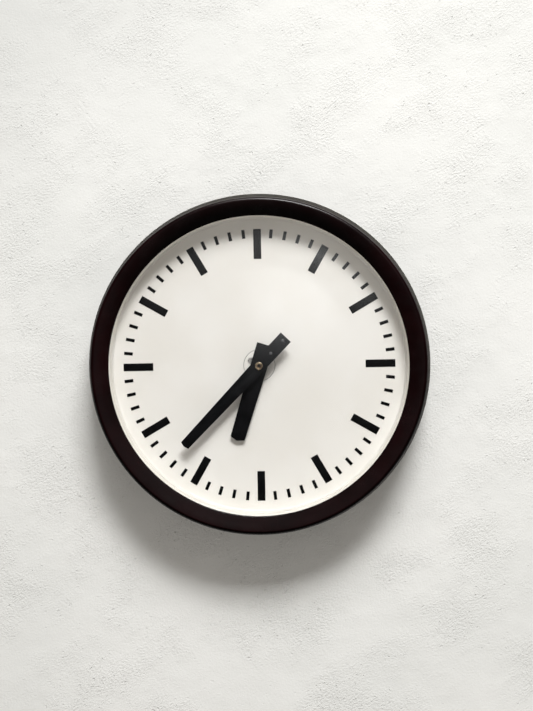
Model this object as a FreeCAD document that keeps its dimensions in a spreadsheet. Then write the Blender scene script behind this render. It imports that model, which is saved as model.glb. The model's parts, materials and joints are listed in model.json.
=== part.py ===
import FreeCAD, Part
import math
import os
import Sketcher
from FreeCAD import Placement, Rotation, Vector

# A factory wall clock: bakelite case, hinged bezel with glass, dial, hands and a stepping movement.
# Frame: +Z up, +X right, the dial faces -Y. The wall is the plane y = 0 and the hands turn about Y.
# A depth is a distance in front of the wall, so a point at depth d has y = -d.

SIZES = (
    # Bezel
    ("rim_radius", 166.0),
    ("skirt_draft", 5.7),
    ("skirt_height", 38.0),
    ("shell_wall", 5.0),
    ("face_fall", 2.5),
    ("front_round", 3.5),
    ("lip_thickness", 3.0),
    ("lip_width", 5.4),
    ("rib_wall", 3.7),
    ("rib_gap", 4.03),
    ("skirt_gap", 1.5),
    # Glass and the white ring that holds it
    ("gasket_thickness", 0.8),
    ("gasket_width", 4.0),
    ("glass_thickness", 2.5),
    ("glass_rise", 5.6),
    ("glass_gap", 0.5),
    ("crown_run", 32.9),
    ("crown_round", 268.0),
    ("sheet_thickness", 1.0),
    ("rehaut_front_step", 0.4),
    ("rehaut_back_step", 0.3),
    ("rehaut_gap", 0.6),
    ("rehaut_flange_inset", 0.5),
    # Rear case
    ("bowl_inset", 18.0),
    ("bowl_draft", 6.0),
    ("floor_thickness", 4.0),
    ("back_round", 5.0),
    ("shelf_width", 20.0),
    ("shelf_thickness", 4.0),
    # Dial
    ("dial_gap", 3.5),
    ("dial_recess", 30.0),
    ("dial_thickness", 1.0),
    ("dial_edge_inset", 0.9),
    ("dial_edge_run", 0.8),
    ("dial_edge_height", 4.0),
    ("dial_edge_round", 1.5),
    ("print_thickness", 0.2),
    ("bar_margin", 10.8),
    ("hour_bar_length", 28.4),
    ("hour_bar_width", 7.05),
    ("minute_bar_length", 8.6),
    ("minute_bar_width", 2.8),
    ("foot_margin", 8.0),
    ("foot_radius", 2.0),
    ("foot_length", 9.0),
    ("nut_radius", 4.0),
    ("nut_height", 3.0),
    ("hub_radius", 15.0),
    ("hub_gap", 0.35),
    ("hub_seat", 4.0),
    ("hub_hole_radius", 6.0),
    ("centre_plate_thickness", 1.0),
    ("centre_screw_distance", 9.4),
    ("centre_screw_head_radius", 3.0),
    ("centre_screw_head_height", 1.2),
    # Hands
    ("minute_angle", 224.0),
    ("minute_length", 105.7),
    ("minute_tail", 37.5),
    ("minute_tail_width", 13.2),
    ("minute_tip_width", 9.4),
    ("minute_point", 1.4),
    ("hour_angle", 197.5),
    ("hour_length", 75.8),
    ("hour_tail", 21.0),
    ("hour_tail_width", 16.5),
    ("hour_tip_width", 14.2),
    ("hour_point", 2.4),
    ("hand_thickness", 1.5),
    ("hour_hand_height", 5.0),
    ("minute_hand_height", 16.0),
    ("hour_boss_radius", 6.5),
    ("hour_boss_height", 3.0),
    ("minute_boss_radius", 5.5),
    ("minute_boss_height", 4.0),
    ("hand_nut_radius", 3.7),
    ("hand_nut_height", 3.5),
    ("arbor_recess", 2.0),
    ("counterweight_width", 9.0),
    ("counterweight_start", 12.0),
    ("counterweight_thickness", 2.0),
    ("rivet_near", 16.4),
    ("rivet_far", 33.0),
    ("rivet_radius", 1.1),
    ("rivet_head_radius", 1.5),
    ("rivet_head_height", 0.5),
    # Movement plates
    ("plate_half_width", 38.0),
    ("plate_top", 44.0),
    ("plate_bottom", -52.0),
    ("plate_thickness", 2.0),
    ("plate_gap", 26.0),
    ("boss_height", 8.0),
    ("boss_radius", 5.0),
    ("pillar_inset", 5.0),
    ("pillar_radius", 3.5),
    ("mount_screw_inset", 9.0),
    ("bridge_height", 11.5),
    ("bridge_pillar_distance", 22.0),
    ("bridge_margin", 4.0),
    # Train
    ("gear_module", 0.6),
    ("pressure_angle", 20.0),
    ("gear_addendum", 0.75),
    ("gear_dedendum", 1.0),
    ("tooth_thinning", 0.08),
    ("wheel_thickness", 2.0),
    ("pinion_overhang", 1.0),
    ("arbor_radius", 1.7),
    ("pivot_radius", 1.0),
    ("end_shake", 0.2),
    ("cannon_wall", 1.0),
    ("hour_pipe_wall", 1.14),
    ("pinion_hub_wall", 0.6),
    ("centre_wheel_lift", 22.0),
    ("step_wheel_lift", 18.0),
    ("minute_wheel_lift", 2.5),
    ("hour_wheel_lift", 7.0),
    # Step motor
    ("rotor_radius", 9.0),
    ("rotor_length", 10.0),
    ("rotor_lift", 3.0),
    ("air_gap", 0.6),
    ("stator_thickness", 6.0),
    ("stator_lift", 5.0),
    ("pole_inside", 22.0),
    ("pole_width", 8.0),
    ("pole_height", 13.8),
    ("core_z", 26.0),
    ("core_height", 8.0),
    ("bobbin_half_length", 20.0),
    ("bobbin_wall", 1.0),
    ("bobbin_flange", 2.0),
    ("bobbin_flange_height", 18.0),
    ("bobbin_flange_depth", 14.0),
    ("winding_inset", 0.8),
    ("stator_spacer_radius", 3.5),
    # Wiring
    ("terminal_half_width", 16.0),
    ("terminal_height", 16.0),
    ("terminal_thickness", 12.0),
    ("terminal_screw_x", 8.0),
    ("lead_radius", 0.7),
    ("lead_x", 19.0),
    ("lead_depth", 16.0),
    ("lead_turn_z", -58.0),
    ("lead_entry_run", 8.0),
    ("inlet_inset", 28.0),
    ("inlet_radius", 4.0),
    ("grommet_wall", 2.0),
    ("grommet_flange", 2.0),
    # Wall hanging
    ("hang_inset", 32.0),
    ("hang_radius", 4.5),
    ("hanger_thickness", 2.0),
    ("hanger_half_width", 22.0),
    ("hanger_half_height", 17.0),
    ("hanger_window", 12.0),
    ("hanger_rivet_inset", 4.0),
    # Hinge and catch
    ("leaf_inset", 4.0),
    ("leaf_thickness", 1.5),
    ("leaf_gap", 1.5),
    ("leaf_length", 15.0),
    ("bezel_leaf_length", 15.0),
    ("knuckle_radius", 2.8),
    ("knuckle_offset", 1.0),
    ("knuckle_half", 5.0),
    ("hinge_half", 15.0),
    ("hinge_gap", 0.7),
    ("hinge_pin_radius", 1.5),
    ("catch_half", 8.0),
    ("catch_sheet", 0.8),
    ("catch_reach", 6.0),
    ("bump_gap", 0.2),
    ("pad_root", 9.0),
    ("pad_start", 2.0),
    ("pad_margin", 1.0),
    ("leaf_margin", 1.0),
    ("pin_end", 1.0),
    ("notch_gap", 2.0),
    # Screws and fits
    ("screw_radius", 1.5),
    ("screw_head_radius", 2.5),
    ("screw_head_height", 1.6),
    ("screw_grip", 7.0),
    ("small_screw_radius", 1.0),
    ("fitting_head_radius", 2.2),
    ("fitting_head_height", 1.2),
    ("fitting_grip", 4.0),
    ("screw_gap", 0.1),
    ("fit_gap", 0.02),
    ("run_gap", 0.05),
)

# Values worked out from the sizes above.
WORKED = (
    # Movement, dial and bezel, as depths
    ("back_plate", "size.floor_thickness + size.boss_height"),
    ("back_plate_front", "at.back_plate + size.plate_thickness"),
    ("front_plate", "at.back_plate_front + size.plate_gap"),
    ("front_plate_front", "at.front_plate + size.plate_thickness"),
    ("bridge", "at.front_plate_front + size.bridge_height"),
    ("bridge_front", "at.bridge + size.plate_thickness"),
    ("dial_back", "at.bridge_front + size.dial_gap"),
    ("dial_depth", "at.dial_back + size.dial_thickness"),
    ("dial_edge_front", "at.dial_depth + size.dial_edge_height"),
    ("shelf_back", "at.dial_back - size.shelf_thickness"),
    ("case_depth", "at.dial_depth + size.dial_recess"),
    ("skirt_back", "at.case_depth - size.skirt_height"),
    ("inner_edge", "at.case_depth - size.face_fall"),
    ("seat", "at.inner_edge - size.lip_thickness"),
    ("glass_front", "at.seat - size.gasket_thickness"),
    ("glass_back", "at.glass_front - size.glass_thickness"),
    ("crown_front", "at.glass_front + size.glass_rise"),
    ("retainer_back", "at.glass_back - size.sheet_thickness"),
    ("rehaut_back", "at.dial_edge_front + size.rehaut_gap"),
    # Bezel, glass and dial, as radii
    ("front_radius", "size.rim_radius - size.skirt_draft"),
    ("skirt_slope", "size.skirt_draft / size.skirt_height"),
    ("skirt_inside", "size.rim_radius - size.shell_wall"),
    ("skirt_inside_front", "at.skirt_inside - (at.seat - at.skirt_back) * at.skirt_slope"),
    ("rib_radius", "at.skirt_inside_front - size.rib_gap"),
    ("rib_screw_distance", "at.rib_radius - size.rib_wall / 2"),
    ("rebate_radius", "at.rib_radius - size.rib_wall"),
    ("opening_radius", "at.rebate_radius - size.lip_width"),
    ("glass_radius", "at.rebate_radius - size.glass_gap"),
    ("crown_corner", "at.glass_radius - size.crown_run"),
    ("dial_edge_radius", "at.opening_radius - size.dial_edge_inset"),
    ("bar_outer_radius", "at.dial_edge_radius - size.bar_margin"),
    ("rehaut_back_radius", "at.dial_edge_radius + size.rehaut_back_step"),
    ("rehaut_front_radius", "at.opening_radius - size.rehaut_front_step"),
    # Rear case, as radii, and what is fastened to its floor, as heights
    ("flange_radius",
     "at.skirt_inside - (at.dial_back - at.skirt_back) * at.skirt_slope - size.skirt_gap"),
    ("bowl_radius", "size.rim_radius - size.bowl_inset"),
    ("back_radius", "at.bowl_radius - size.bowl_draft"),
    ("wall_slope", "size.bowl_draft / at.shelf_back"),
    ("bowl_inside", "at.bowl_radius - size.shell_wall"),
    ("floor_inside", "at.back_radius + size.floor_thickness * at.wall_slope - size.shell_wall"),
    ("shelf_radius", "at.bowl_inside - size.shelf_width"),
    ("foot_distance", "at.shelf_radius + size.foot_margin"),
    ("hang_z", "at.back_radius - size.hang_inset"),
    ("inlet_z", "size.inlet_inset - at.back_radius"),
    ("terminal_z", "(size.plate_bottom + at.inlet_z) / 2"),
    # Hands, as depths
    ("hour_hand", "at.dial_depth + size.hour_hand_height"),
    ("minute_hand", "at.dial_depth + size.minute_hand_height"),
    ("minute_hand_front", "at.minute_hand + size.hand_thickness"),
    ("nut_front", "at.minute_hand_front + size.hand_nut_height"),
    ("arbor_front", "at.nut_front - size.arbor_recess"),
    ("centre_plate_front", "at.dial_back + size.centre_plate_thickness"),
    # Train and step motor, as depths
    ("centre_wheel", "at.back_plate_front + size.centre_wheel_lift"),
    ("step_wheel", "at.back_plate_front + size.step_wheel_lift"),
    ("minute_wheel", "at.front_plate_front + size.minute_wheel_lift"),
    ("hour_wheel", "at.front_plate_front + size.hour_wheel_lift"),
    ("rotor", "at.back_plate_front + size.rotor_lift"),
    ("stator", "at.back_plate_front + size.stator_lift"),
    ("stator_front", "at.stator + size.stator_thickness"),
    ("stator_middle", "at.stator + size.stator_thickness / 2"),
    ("pillar_x", "size.plate_half_width - size.pillar_inset"),
    ("mount_screw_x", "at.pillar_x - size.mount_screw_inset"),
    ("pillar_top", "size.plate_top - size.pillar_inset"),
    ("pillar_bottom", "size.plate_bottom + size.pillar_inset"),
    ("pole_outside", "size.pole_inside + size.pole_width"),
    ("pole_middle", "size.pole_inside + size.pole_width / 2"),
    # Fits, as radii
    ("screw_hole", "size.screw_radius + size.screw_gap"),
    ("small_screw_hole", "size.small_screw_radius + size.screw_gap"),
    ("pivot_hole", "size.pivot_radius + size.run_gap"),
    ("arbor_bore", "size.arbor_radius + size.fit_gap"),
    ("arbor_run", "size.arbor_radius + size.run_gap"),
    ("cannon_pipe", "at.arbor_bore + size.cannon_wall"),
    ("hour_pipe_bore", "at.cannon_pipe + size.run_gap"),
    ("hour_pipe", "at.hour_pipe_bore + size.hour_pipe_wall"),
    ("pinion_hub", "at.arbor_run + size.pinion_hub_wall"),
    ("foot_hole", "size.foot_radius + size.screw_gap"),
    ("rivet_hole", "size.rivet_radius + size.fit_gap"),
    # Hinge and catch, as distances from the middle and as depths
    ("leaf_face", "at.skirt_inside - size.leaf_inset"),
    ("leaf_inner", "at.leaf_face - size.leaf_thickness"),
    ("case_leaf_face", "at.leaf_inner - size.leaf_gap"),
    ("pad_face", "at.case_leaf_face - size.leaf_thickness"),
    ("hinge_x", "at.leaf_face + size.knuckle_offset"),
    ("hinge_depth", "at.skirt_back - size.hinge_gap - size.knuckle_radius"),
    ("case_leaf_front", "at.hinge_depth + size.knuckle_radius"),
    ("case_leaf_back", "at.case_leaf_front - size.leaf_length"),
    ("case_screw_depth", "at.case_leaf_back + size.fitting_head_radius + 1.5 * size.screw_radius"),
    ("bezel_leaf_back", "at.skirt_back + size.screw_radius"),
    ("bezel_leaf_front", "at.skirt_back + size.bezel_leaf_length"),
    ("bezel_screw_depth", "at.bezel_leaf_front - size.fitting_head_radius - 2 * size.screw_radius"),
    ("pin_bore", "size.hinge_pin_radius + size.run_gap"),
    ("catch_bump_depth", "at.case_leaf_front - size.screw_radius"),
    ("tongue_back", "at.catch_bump_depth - size.catch_reach + size.screw_radius"),
)

# Counts of teeth
CENTRE_TEETH = 48
STEP_PINION_TEETH = 12
STEP_TEETH = 45
ROTOR_PINION_TEETH = 12
CANNON_TEETH = 15
MINUTE_TEETH = 45
MINUTE_PINION_TEETH = 12
HOUR_TEETH = 48

doc = FreeCAD.newDocument("factory_clock")


def fill_sheet(name, rows):
    """A spreadsheet with one named cell for each row."""
    sheet = doc.addObject("Spreadsheet::Sheet", name)
    for line, (alias, content) in enumerate(rows, start=1):
        sheet.set(f"A{line}", alias)
        sheet.setAlias(f"B{line}", alias)
        sheet.set(f"B{line}", str(content))
    return sheet


size = fill_sheet("size", SIZES)
at = fill_sheet("at", [(alias, "=" + formula) for alias, formula in WORKED])
doc.recompute()
nodes = []


def value(expression):
    """The number that an expression on the two sheets gives."""
    return float(size.evalExpression(str(expression)))


def node(item, label):
    """Keep an object as a sub-part of the clock, under its own name."""
    item.Label = label
    nodes.append(item)
    return item


def polar(radius, angle):
    """Place on a circle about the clock's axis, clockwise from twelve, as x and z."""
    return f"({radius}) * sin({angle})", f"({radius}) * cos({angle})"


# Sketches and bodies

def new_body():
    return doc.addObject("PartDesign::Body", "body")


def origin(body, role):
    return next(item for item in body.Origin.OriginFeatures if item.Role == role)


def new_sketch(body, plane, offset="0"):
    """Sketch on one of the body's origin planes, moved along its normal."""
    sketch = body.newObject("Sketcher::SketchObject", "sketch")
    sketch.AttachmentSupport = [(origin(body, plane), "")]
    sketch.MapMode = "FlatFace"
    sketch.setExpression("AttachmentOffset.Base.z", offset)
    return sketch


def constrain(sketch, expression, *constraint):
    index = sketch.addConstraint(Sketcher.Constraint(*constraint, value(expression)))
    sketch.setExpression(f"Constraints[{index}]", expression)


def hold(sketch, element, end, across, along, flip):
    """Hold a point at two measures from the sketch's origin."""
    if across == "0":
        sketch.addConstraint(Sketcher.Constraint("PointOnObject", element, end, -2))
    else:
        constrain(sketch, across, "DistanceX", -1, 1, element, end)
    if along == "0":
        sketch.addConstraint(Sketcher.Constraint("PointOnObject", element, end, -1))
    elif flip < 0:
        constrain(sketch, along, "DistanceY", element, end, -1, 1)
    else:
        constrain(sketch, along, "DistanceY", -1, 1, element, end)


def outline(sketch, corners, flip):
    """Closed outline of straight runs. A corner with a third value is rounded by that radius."""
    count = len(corners)
    points = [Vector(value(corner[0]), flip * value(corner[1]), 0) for corner in corners]
    ends = []
    for index, corner in enumerate(corners):
        run = 0.0
        back = (points[index - 1] - points[index]).normalize()
        ahead = (points[(index + 1) % count] - points[index]).normalize()
        if len(corner) == 3:
            run = value(corner[2]) / math.tan(back.getAngle(ahead) / 2)
        ends.append((points[index] + back * run, points[index] + ahead * run))
    lines = []
    for index in range(count):
        lines.append(sketch.addGeometry(Part.LineSegment(ends[index][1], ends[(index + 1) % count][0])))
    for index, corner in enumerate(corners):
        before = lines[index - 1]
        after = lines[index]
        if len(corner) == 2:
            sketch.addConstraint(Sketcher.Constraint("Coincident", before, 2, after, 1))
            hold(sketch, after, 1, corner[0], corner[1], flip)
            continue
        start, stop = ends[index]
        chord = stop - start
        turn = (start - points[index]).getAngle(stop - points[index])
        inward = ((start + stop) * 0.5 - points[index]).normalize()
        radius = value(corner[2])
        middle = points[index] + inward * (radius / math.sin(turn / 2) - radius)
        arc = sketch.addGeometry(Part.Arc(start, middle, stop))
        first = 1 if (sketch.getPoint(arc, 1) - start).Length < chord.Length / 2 else 2
        marker = sketch.addGeometry(Part.Point(points[index]), True)
        sketch.addConstraint(Sketcher.Constraint("Tangent", before, 2, arc, first))
        sketch.addConstraint(Sketcher.Constraint("Tangent", after, 1, arc, 3 - first))
        constrain(sketch, corner[2], "Radius", arc)
        sketch.addConstraint(Sketcher.Constraint("PointOnObject", marker, 1, before))
        sketch.addConstraint(Sketcher.Constraint("PointOnObject", marker, 1, after))
        hold(sketch, marker, 1, corner[0], corner[1], flip)


def circle(sketch, x, z, radius):
    centre = Vector(value(x), value(z), 0)
    element = sketch.addGeometry(Part.Circle(centre, Vector(0, 0, 1), value(radius)))
    constrain(sketch, radius, "Radius", element)
    hold(sketch, element, 3, x, z, 1)


def rectangle(sketch, left, right, low, high):
    outline(sketch, ((left, low), (right, low), (right, high), (left, high)), 1)


def pad(body, sketch, length, midplane=False):
    feature = body.newObject("PartDesign::Pad", "pad")
    feature.Profile = sketch
    feature.setExpression("Length", length)
    feature.Midplane = midplane
    return feature


def pocket(body, sketch, length, turned=False):
    """Cut against the sketch's normal, or along it where turned."""
    feature = body.newObject("PartDesign::Pocket", "pocket")
    feature.Profile = sketch
    feature.setExpression("Length", length)
    feature.Reversed = turned
    return feature


def lathe(corners):
    """Body turned about the clock's axis from an outline of radii and depths."""
    body = new_body()
    sketch = new_sketch(body, "XY_Plane")
    outline(sketch, corners, -1)
    turning = body.newObject("PartDesign::Revolution", "turning")
    turning.Profile = sketch
    turning.ReferenceAxis = (sketch, ["V_Axis"])
    turning.Angle = 360
    return body


def ring(inner, outer, back, front):
    return lathe(((inner, back), (outer, back), (outer, front), (inner, front)))


def move(item, x, z):
    """Move a turned body sideways to its own axis."""
    item.setExpression("Placement.Base.x", x)
    item.setExpression("Placement.Base.z", z)
    return item


def turn_to(item, angle):
    """Turn a body about the clock's axis, clockwise from twelve."""
    item.Placement = Placement(Vector(), Rotation(Vector(0, 1, 0), value(angle)))
    item.setExpression("Placement.Rotation.Angle", angle)
    return item


# Plain solids

def rod(radius, back, front, x="0", z="0"):
    """Round bar along the clock's axis, between two depths."""
    item = doc.addObject("Part::Cylinder", "rod")
    item.Placement = Placement(Vector(), Rotation(Vector(1, 0, 0), 90))
    item.setExpression("Radius", radius)
    item.setExpression("Height", f"({front}) - ({back})")
    item.setExpression("Placement.Base.x", x)
    item.setExpression("Placement.Base.y", f"-({back})")
    item.setExpression("Placement.Base.z", z)
    return item


def cross_rod(radius, left, right, depth, z):
    """Round bar along X."""
    item = doc.addObject("Part::Cylinder", "cross_rod")
    item.Placement = Placement(Vector(), Rotation(Vector(0, 1, 0), 90))
    item.setExpression("Radius", radius)
    item.setExpression("Height", f"({right}) - ({left})")
    item.setExpression("Placement.Base.x", left)
    item.setExpression("Placement.Base.y", f"-({depth})")
    item.setExpression("Placement.Base.z", z)
    return item


def upright(radius, low, high, x, depth):
    """Round bar along Z."""
    item = doc.addObject("Part::Cylinder", "upright")
    item.setExpression("Radius", radius)
    item.setExpression("Height", f"({high}) - ({low})")
    item.setExpression("Placement.Base.x", x)
    item.setExpression("Placement.Base.y", f"-({depth})")
    item.setExpression("Placement.Base.z", low)
    return item


def block(left, right, back, front, low, high):
    item = doc.addObject("Part::Box", "block")
    item.setExpression("Length", f"({right}) - ({left})")
    item.setExpression("Width", f"({front}) - ({back})")
    item.setExpression("Height", f"({high}) - ({low})")
    item.setExpression("Placement.Base.x", left)
    item.setExpression("Placement.Base.y", f"-({front})")
    item.setExpression("Placement.Base.z", low)
    return item


def fuse(*items):
    item = doc.addObject("Part::MultiFuse", "fuse")
    item.Shapes = list(items)
    return item


def cut(base, tool):
    item = doc.addObject("Part::Cut", "cut")
    item.Base = base
    item.Tool = tool
    return item


def group(items):
    item = doc.addObject("Part::Compound", "group")
    item.Links = list(items)
    return item


def tube(inner, outer, back, front, x, z):
    return cut(rod(outer, back, front, x, z), rod(inner, back, front, x, z))


def screw(x, z, head, grip, radius="size.screw_radius", head_radius="size.screw_head_radius",
          head_height="size.screw_head_height"):
    """Screw driven from the front: its head stands on depth head, its shank goes back to depth grip."""
    return fuse(rod(head_radius, head, f"({head}) + {head_height}", x, z), rod(radius, grip, head, x, z))


def side_screw(face, side, depth, z):
    """Screw along X, with its head on a face at x = face and its shank pointing to the given side."""
    shank = f"{face} + {side} * size.fitting_grip"
    head = f"{face} - {side} * size.fitting_head_height"
    reach = (face, shank) if side > 0 else (shank, face)
    cap = (head, face) if side > 0 else (face, head)
    return fuse(cross_rod("size.fitting_head_radius", *cap, depth, z),
                cross_rod("size.screw_radius", *reach, depth, z))


# Gears

def involute(base, radius):
    """Angle that an involute has turned through at a radius."""
    if radius <= base:
        return 0.0
    pressure = math.acos(base / radius)
    return math.tan(pressure) - pressure


def on_circle(radius, angle):
    """Point at depth 0 on a circle, by an angle from +X towards +Z."""
    return Vector(radius * math.cos(angle), 0, radius * math.sin(angle))


def gear_face(teeth, phase):
    """Toothed face with one tooth centred at angle phase. Each flank is an arc through the involute."""
    module = value("size.gear_module")
    pitch = teeth * module / 2
    base = pitch * math.cos(math.radians(value("size.pressure_angle")))
    tip = pitch + module * value("size.gear_addendum")
    root = pitch - module * value("size.gear_dedendum")
    low = max(base, root)
    half = math.pi / (2 * teeth) - value("size.tooth_thinning") / (2 * pitch) + involute(base, pitch)
    foot_half = half - involute(base, low)
    step = 2 * math.pi / teeth
    edges = []
    for index in range(teeth):
        middle = phase + index * step

        def flank(side, radius):
            return on_circle(radius, middle + side * (half - involute(base, radius)))

        foot = [on_circle(root, middle + side * foot_half) for side in (-1, 1)]
        if low > root:
            edges.append(Part.makeLine(foot[0], flank(-1, low)))
        edges.append(Part.Arc(flank(-1, low), flank(-1, (low + tip) / 2), flank(-1, tip)).toShape())
        edges.append(Part.Arc(flank(-1, tip), on_circle(tip, middle), flank(1, tip)).toShape())
        edges.append(Part.Arc(flank(1, tip), flank(1, (low + tip) / 2), flank(1, low)).toShape())
        if low > root:
            edges.append(Part.makeLine(flank(1, low), foot[1]))
        gap = on_circle(root, middle + step / 2)
        following = on_circle(root, middle + step - foot_half)
        edges.append(Part.Arc(foot[1], gap, following).toShape())
    return Part.Face(Part.Wire(edges))


def gear(teeth, phase, back, front, bore, extra=()):
    """Gear between two depths. extra lists hubs, as radius, back and front. The bore goes through all."""
    forward = Vector(0, -1, 0)
    shape = gear_face(teeth, phase).extrude(forward * (value(front) - value(back)))
    shape.translate(forward * value(back))
    low = value(back)
    high = value(front)
    for radius, start, stop in extra:
        hub = Part.makeCylinder(value(radius), value(stop) - value(start), forward * value(start), forward)
        shape = shape.fuse(hub)
        low = min(low, value(start))
        high = max(high, value(stop))
    if bore:
        hole = Part.makeCylinder(value(bore), high - low, forward * low, forward)
        shape = shape.cut(hole)
    item = doc.addObject("Part::Feature", "gear")
    item.Shape = shape.removeSplitter()
    return item


def centre_distance(first, second):
    """Distance between the axes of two gears, by their counts of teeth."""
    return f"size.gear_module * {(first + second) / 2}"


def meshing(driver, phase, driven, direction):
    """Phase of a driven gear whose gap faces the driver's tooth. direction points to the driven gear.

    driver and driven are their counts of teeth.
    """
    share = (direction - phase) * driver / (2 * math.pi)
    return direction + math.pi - (0.5 - share) * 2 * math.pi / driven


# Axes of the train: the step arbor and the rotor stand below the hands, the motion stud to their right.
STEP_Z = f"-({centre_distance(CENTRE_TEETH, STEP_PINION_TEETH)})"
ROTOR_Z = f"{STEP_Z} - ({centre_distance(STEP_TEETH, ROTOR_PINION_TEETH)})"
STUD_X = centre_distance(CANNON_TEETH, MINUTE_TEETH)
DOWN = -math.pi / 2
RIGHT = 0.0
THIRDS = (60, 180, 300)
QUARTERS = (45, 135, 225, 315)

# Bezel

bezel = lathe((
    ("at.opening_radius", "at.inner_edge"),
    ("at.front_radius", "at.case_depth", "size.front_round"),
    ("size.rim_radius", "at.skirt_back"),
    ("at.skirt_inside", "at.skirt_back"),
    ("at.skirt_inside_front", "at.seat"),
    ("at.rib_radius", "at.seat"),
    ("at.rib_radius", "at.glass_back"),
    ("at.rebate_radius", "at.glass_back"),
    ("at.rebate_radius", "at.seat"),
    ("at.opening_radius", "at.seat"),
))
pad_back = "at.skirt_back + size.pad_start"
pad_front = "at.bezel_leaf_front + size.pad_margin"
mid_wall = "at.skirt_inside + size.shell_wall / 2 - ({} - at.skirt_back) * at.skirt_slope"
for sign, half in (("-", "size.hinge_half - size.leaf_margin"), ("", "size.catch_half")):
    sketch = new_sketch(bezel, "XY_Plane")
    outline(sketch, (
        (f"{sign}at.leaf_face", pad_back),
        (f"{sign}at.leaf_face", pad_front),
        (f"{sign}({mid_wall.format('(' + pad_front + ')')})", pad_front),
        (f"{sign}({mid_wall.format('(' + pad_back + ')')})", pad_back),
    ), -1)
    pad(bezel, sketch, f"2 * ({half})", midplane=True)
HINGE_SCREW_Z = "size.hinge_half - size.fitting_head_radius - 2 * size.screw_radius"
CATCH_SCREW_Z = "size.catch_half - size.fitting_head_radius - size.screw_radius"
for sign, height in (("-", HINGE_SCREW_Z), ("", CATCH_SCREW_Z)):
    sketch = new_sketch(bezel, "YZ_Plane", f"{sign}at.leaf_face")
    for up in ("", "-"):
        circle(sketch, "-at.bezel_screw_depth", f"{up}({height})", "at.screw_hole")
    pocket(bezel, sketch, "size.fitting_grip - size.leaf_thickness + size.screw_gap", turned=not sign)
sketch = new_sketch(bezel, "XZ_Plane", "at.glass_back")
RETAINER_ANGLES = range(15, 360, 60)
for angle in RETAINER_ANGLES:
    circle(sketch, *polar("at.rib_screw_distance", angle), "at.small_screw_hole")
pocket(bezel, sketch, "at.seat - at.glass_back", turned=True)
node(bezel, "bezel_ring")

node(ring("at.glass_radius - size.gasket_width", "at.glass_radius", "at.glass_front", "at.seat"),
     "glass_gasket")

node(lathe((
    ("0", "at.crown_front - size.glass_thickness"),
    ("at.crown_corner", "at.crown_front - size.glass_thickness", "size.crown_round - size.glass_thickness"),
    ("at.glass_radius - size.gasket_width", "at.glass_back"),
    ("at.glass_radius", "at.glass_back"),
    ("at.glass_radius", "at.glass_front"),
    ("at.glass_radius - size.gasket_width", "at.glass_front"),
    ("at.crown_corner", "at.crown_front", "size.crown_round"),
    ("0", "at.crown_front"),
)), "glass")

rehaut = lathe((
    ("at.rehaut_back_radius", "at.rehaut_back"),
    ("at.rehaut_back_radius + size.sheet_thickness", "at.rehaut_back"),
    ("at.rehaut_front_radius + size.sheet_thickness", "at.retainer_back"),
    ("at.rib_radius - size.rehaut_flange_inset", "at.retainer_back"),
    ("at.rib_radius - size.rehaut_flange_inset", "at.glass_back"),
    ("at.rehaut_front_radius", "at.glass_back"),
))
sketch = new_sketch(rehaut, "XZ_Plane", "at.glass_back")
for angle in RETAINER_ANGLES:
    circle(sketch, *polar("at.rib_screw_distance", angle), "at.small_screw_hole")
pocket(rehaut, sketch, "size.sheet_thickness")
node(rehaut, "rehaut_ring")


def retainer_screw(angle):
    """Small screw driven from behind through the white ring into the bezel's rib."""
    x, z = polar("at.rib_screw_distance", angle)
    head = rod("size.rib_wall / 2 - size.screw_gap", "at.retainer_back - size.fitting_head_height",
               "at.retainer_back", x, z)
    shank = rod("size.small_screw_radius", "at.retainer_back", "at.seat - size.screw_gap", x, z)
    return fuse(head, shank)


node(group([retainer_screw(angle) for angle in RETAINER_ANGLES]), "rehaut_screws")

# Hinge at the nine o'clock side and catch at the three o'clock side

KNUCKLE_INNER = "size.knuckle_half + size.run_gap"
KNUCKLE_INNER_LOW = f"-({KNUCKLE_INNER})"
bezel_plate = block("-at.leaf_face", "-at.leaf_inner", "at.bezel_leaf_back", "at.bezel_leaf_front",
                    "-(size.hinge_half - size.leaf_margin)", "size.hinge_half - size.leaf_margin")
bezel_neck = block("-at.leaf_face", "-at.leaf_inner", "at.hinge_depth", "at.bezel_leaf_front",
                   "-size.knuckle_half", "size.knuckle_half")
bezel_knuckle = upright("size.knuckle_radius", "-size.knuckle_half", "size.knuckle_half",
                        "-at.hinge_x", "at.hinge_depth")
bezel_holes = [upright("at.pin_bore", "-size.hinge_half", "size.hinge_half", "-at.hinge_x", "at.hinge_depth")]
for up in ("", "-"):
    bezel_holes.append(cross_rod("at.screw_hole", "-at.leaf_face", "-at.leaf_inner", "at.bezel_screw_depth",
                                 f"{up}({HINGE_SCREW_Z})"))
node(cut(fuse(bezel_plate, bezel_neck, bezel_knuckle), group(bezel_holes)), "hinge_leaf_bezel")

case_plate = block("-at.case_leaf_face", "-at.pad_face", "at.case_leaf_back", "at.case_leaf_front",
                   "-size.hinge_half", "size.hinge_half")
case_solids = [case_plate]
for low, high in ((KNUCKLE_INNER, "size.hinge_half"), ("-size.hinge_half", KNUCKLE_INNER_LOW)):
    case_solids.append(upright("size.knuckle_radius", low, high, "-at.hinge_x", "at.hinge_depth"))
    case_solids.append(block("-at.hinge_x", "-at.pad_face", "at.hinge_depth - size.leaf_thickness",
                             "at.hinge_depth", low, high))
case_holes = [upright("at.pin_bore", "-size.hinge_half", "size.hinge_half", "-at.hinge_x", "at.hinge_depth")]
for up in ("", "-"):
    case_holes.append(cross_rod("at.screw_hole", "-at.case_leaf_face", "-at.pad_face", "at.case_screw_depth",
                                f"{up}({HINGE_SCREW_Z})"))
node(cut(fuse(*case_solids), group(case_holes)), "hinge_leaf_case")
node(upright("size.hinge_pin_radius", "-size.hinge_half - size.pin_end", "size.hinge_half + size.pin_end",
             "-at.hinge_x", "at.hinge_depth"), "hinge_pin")

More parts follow.
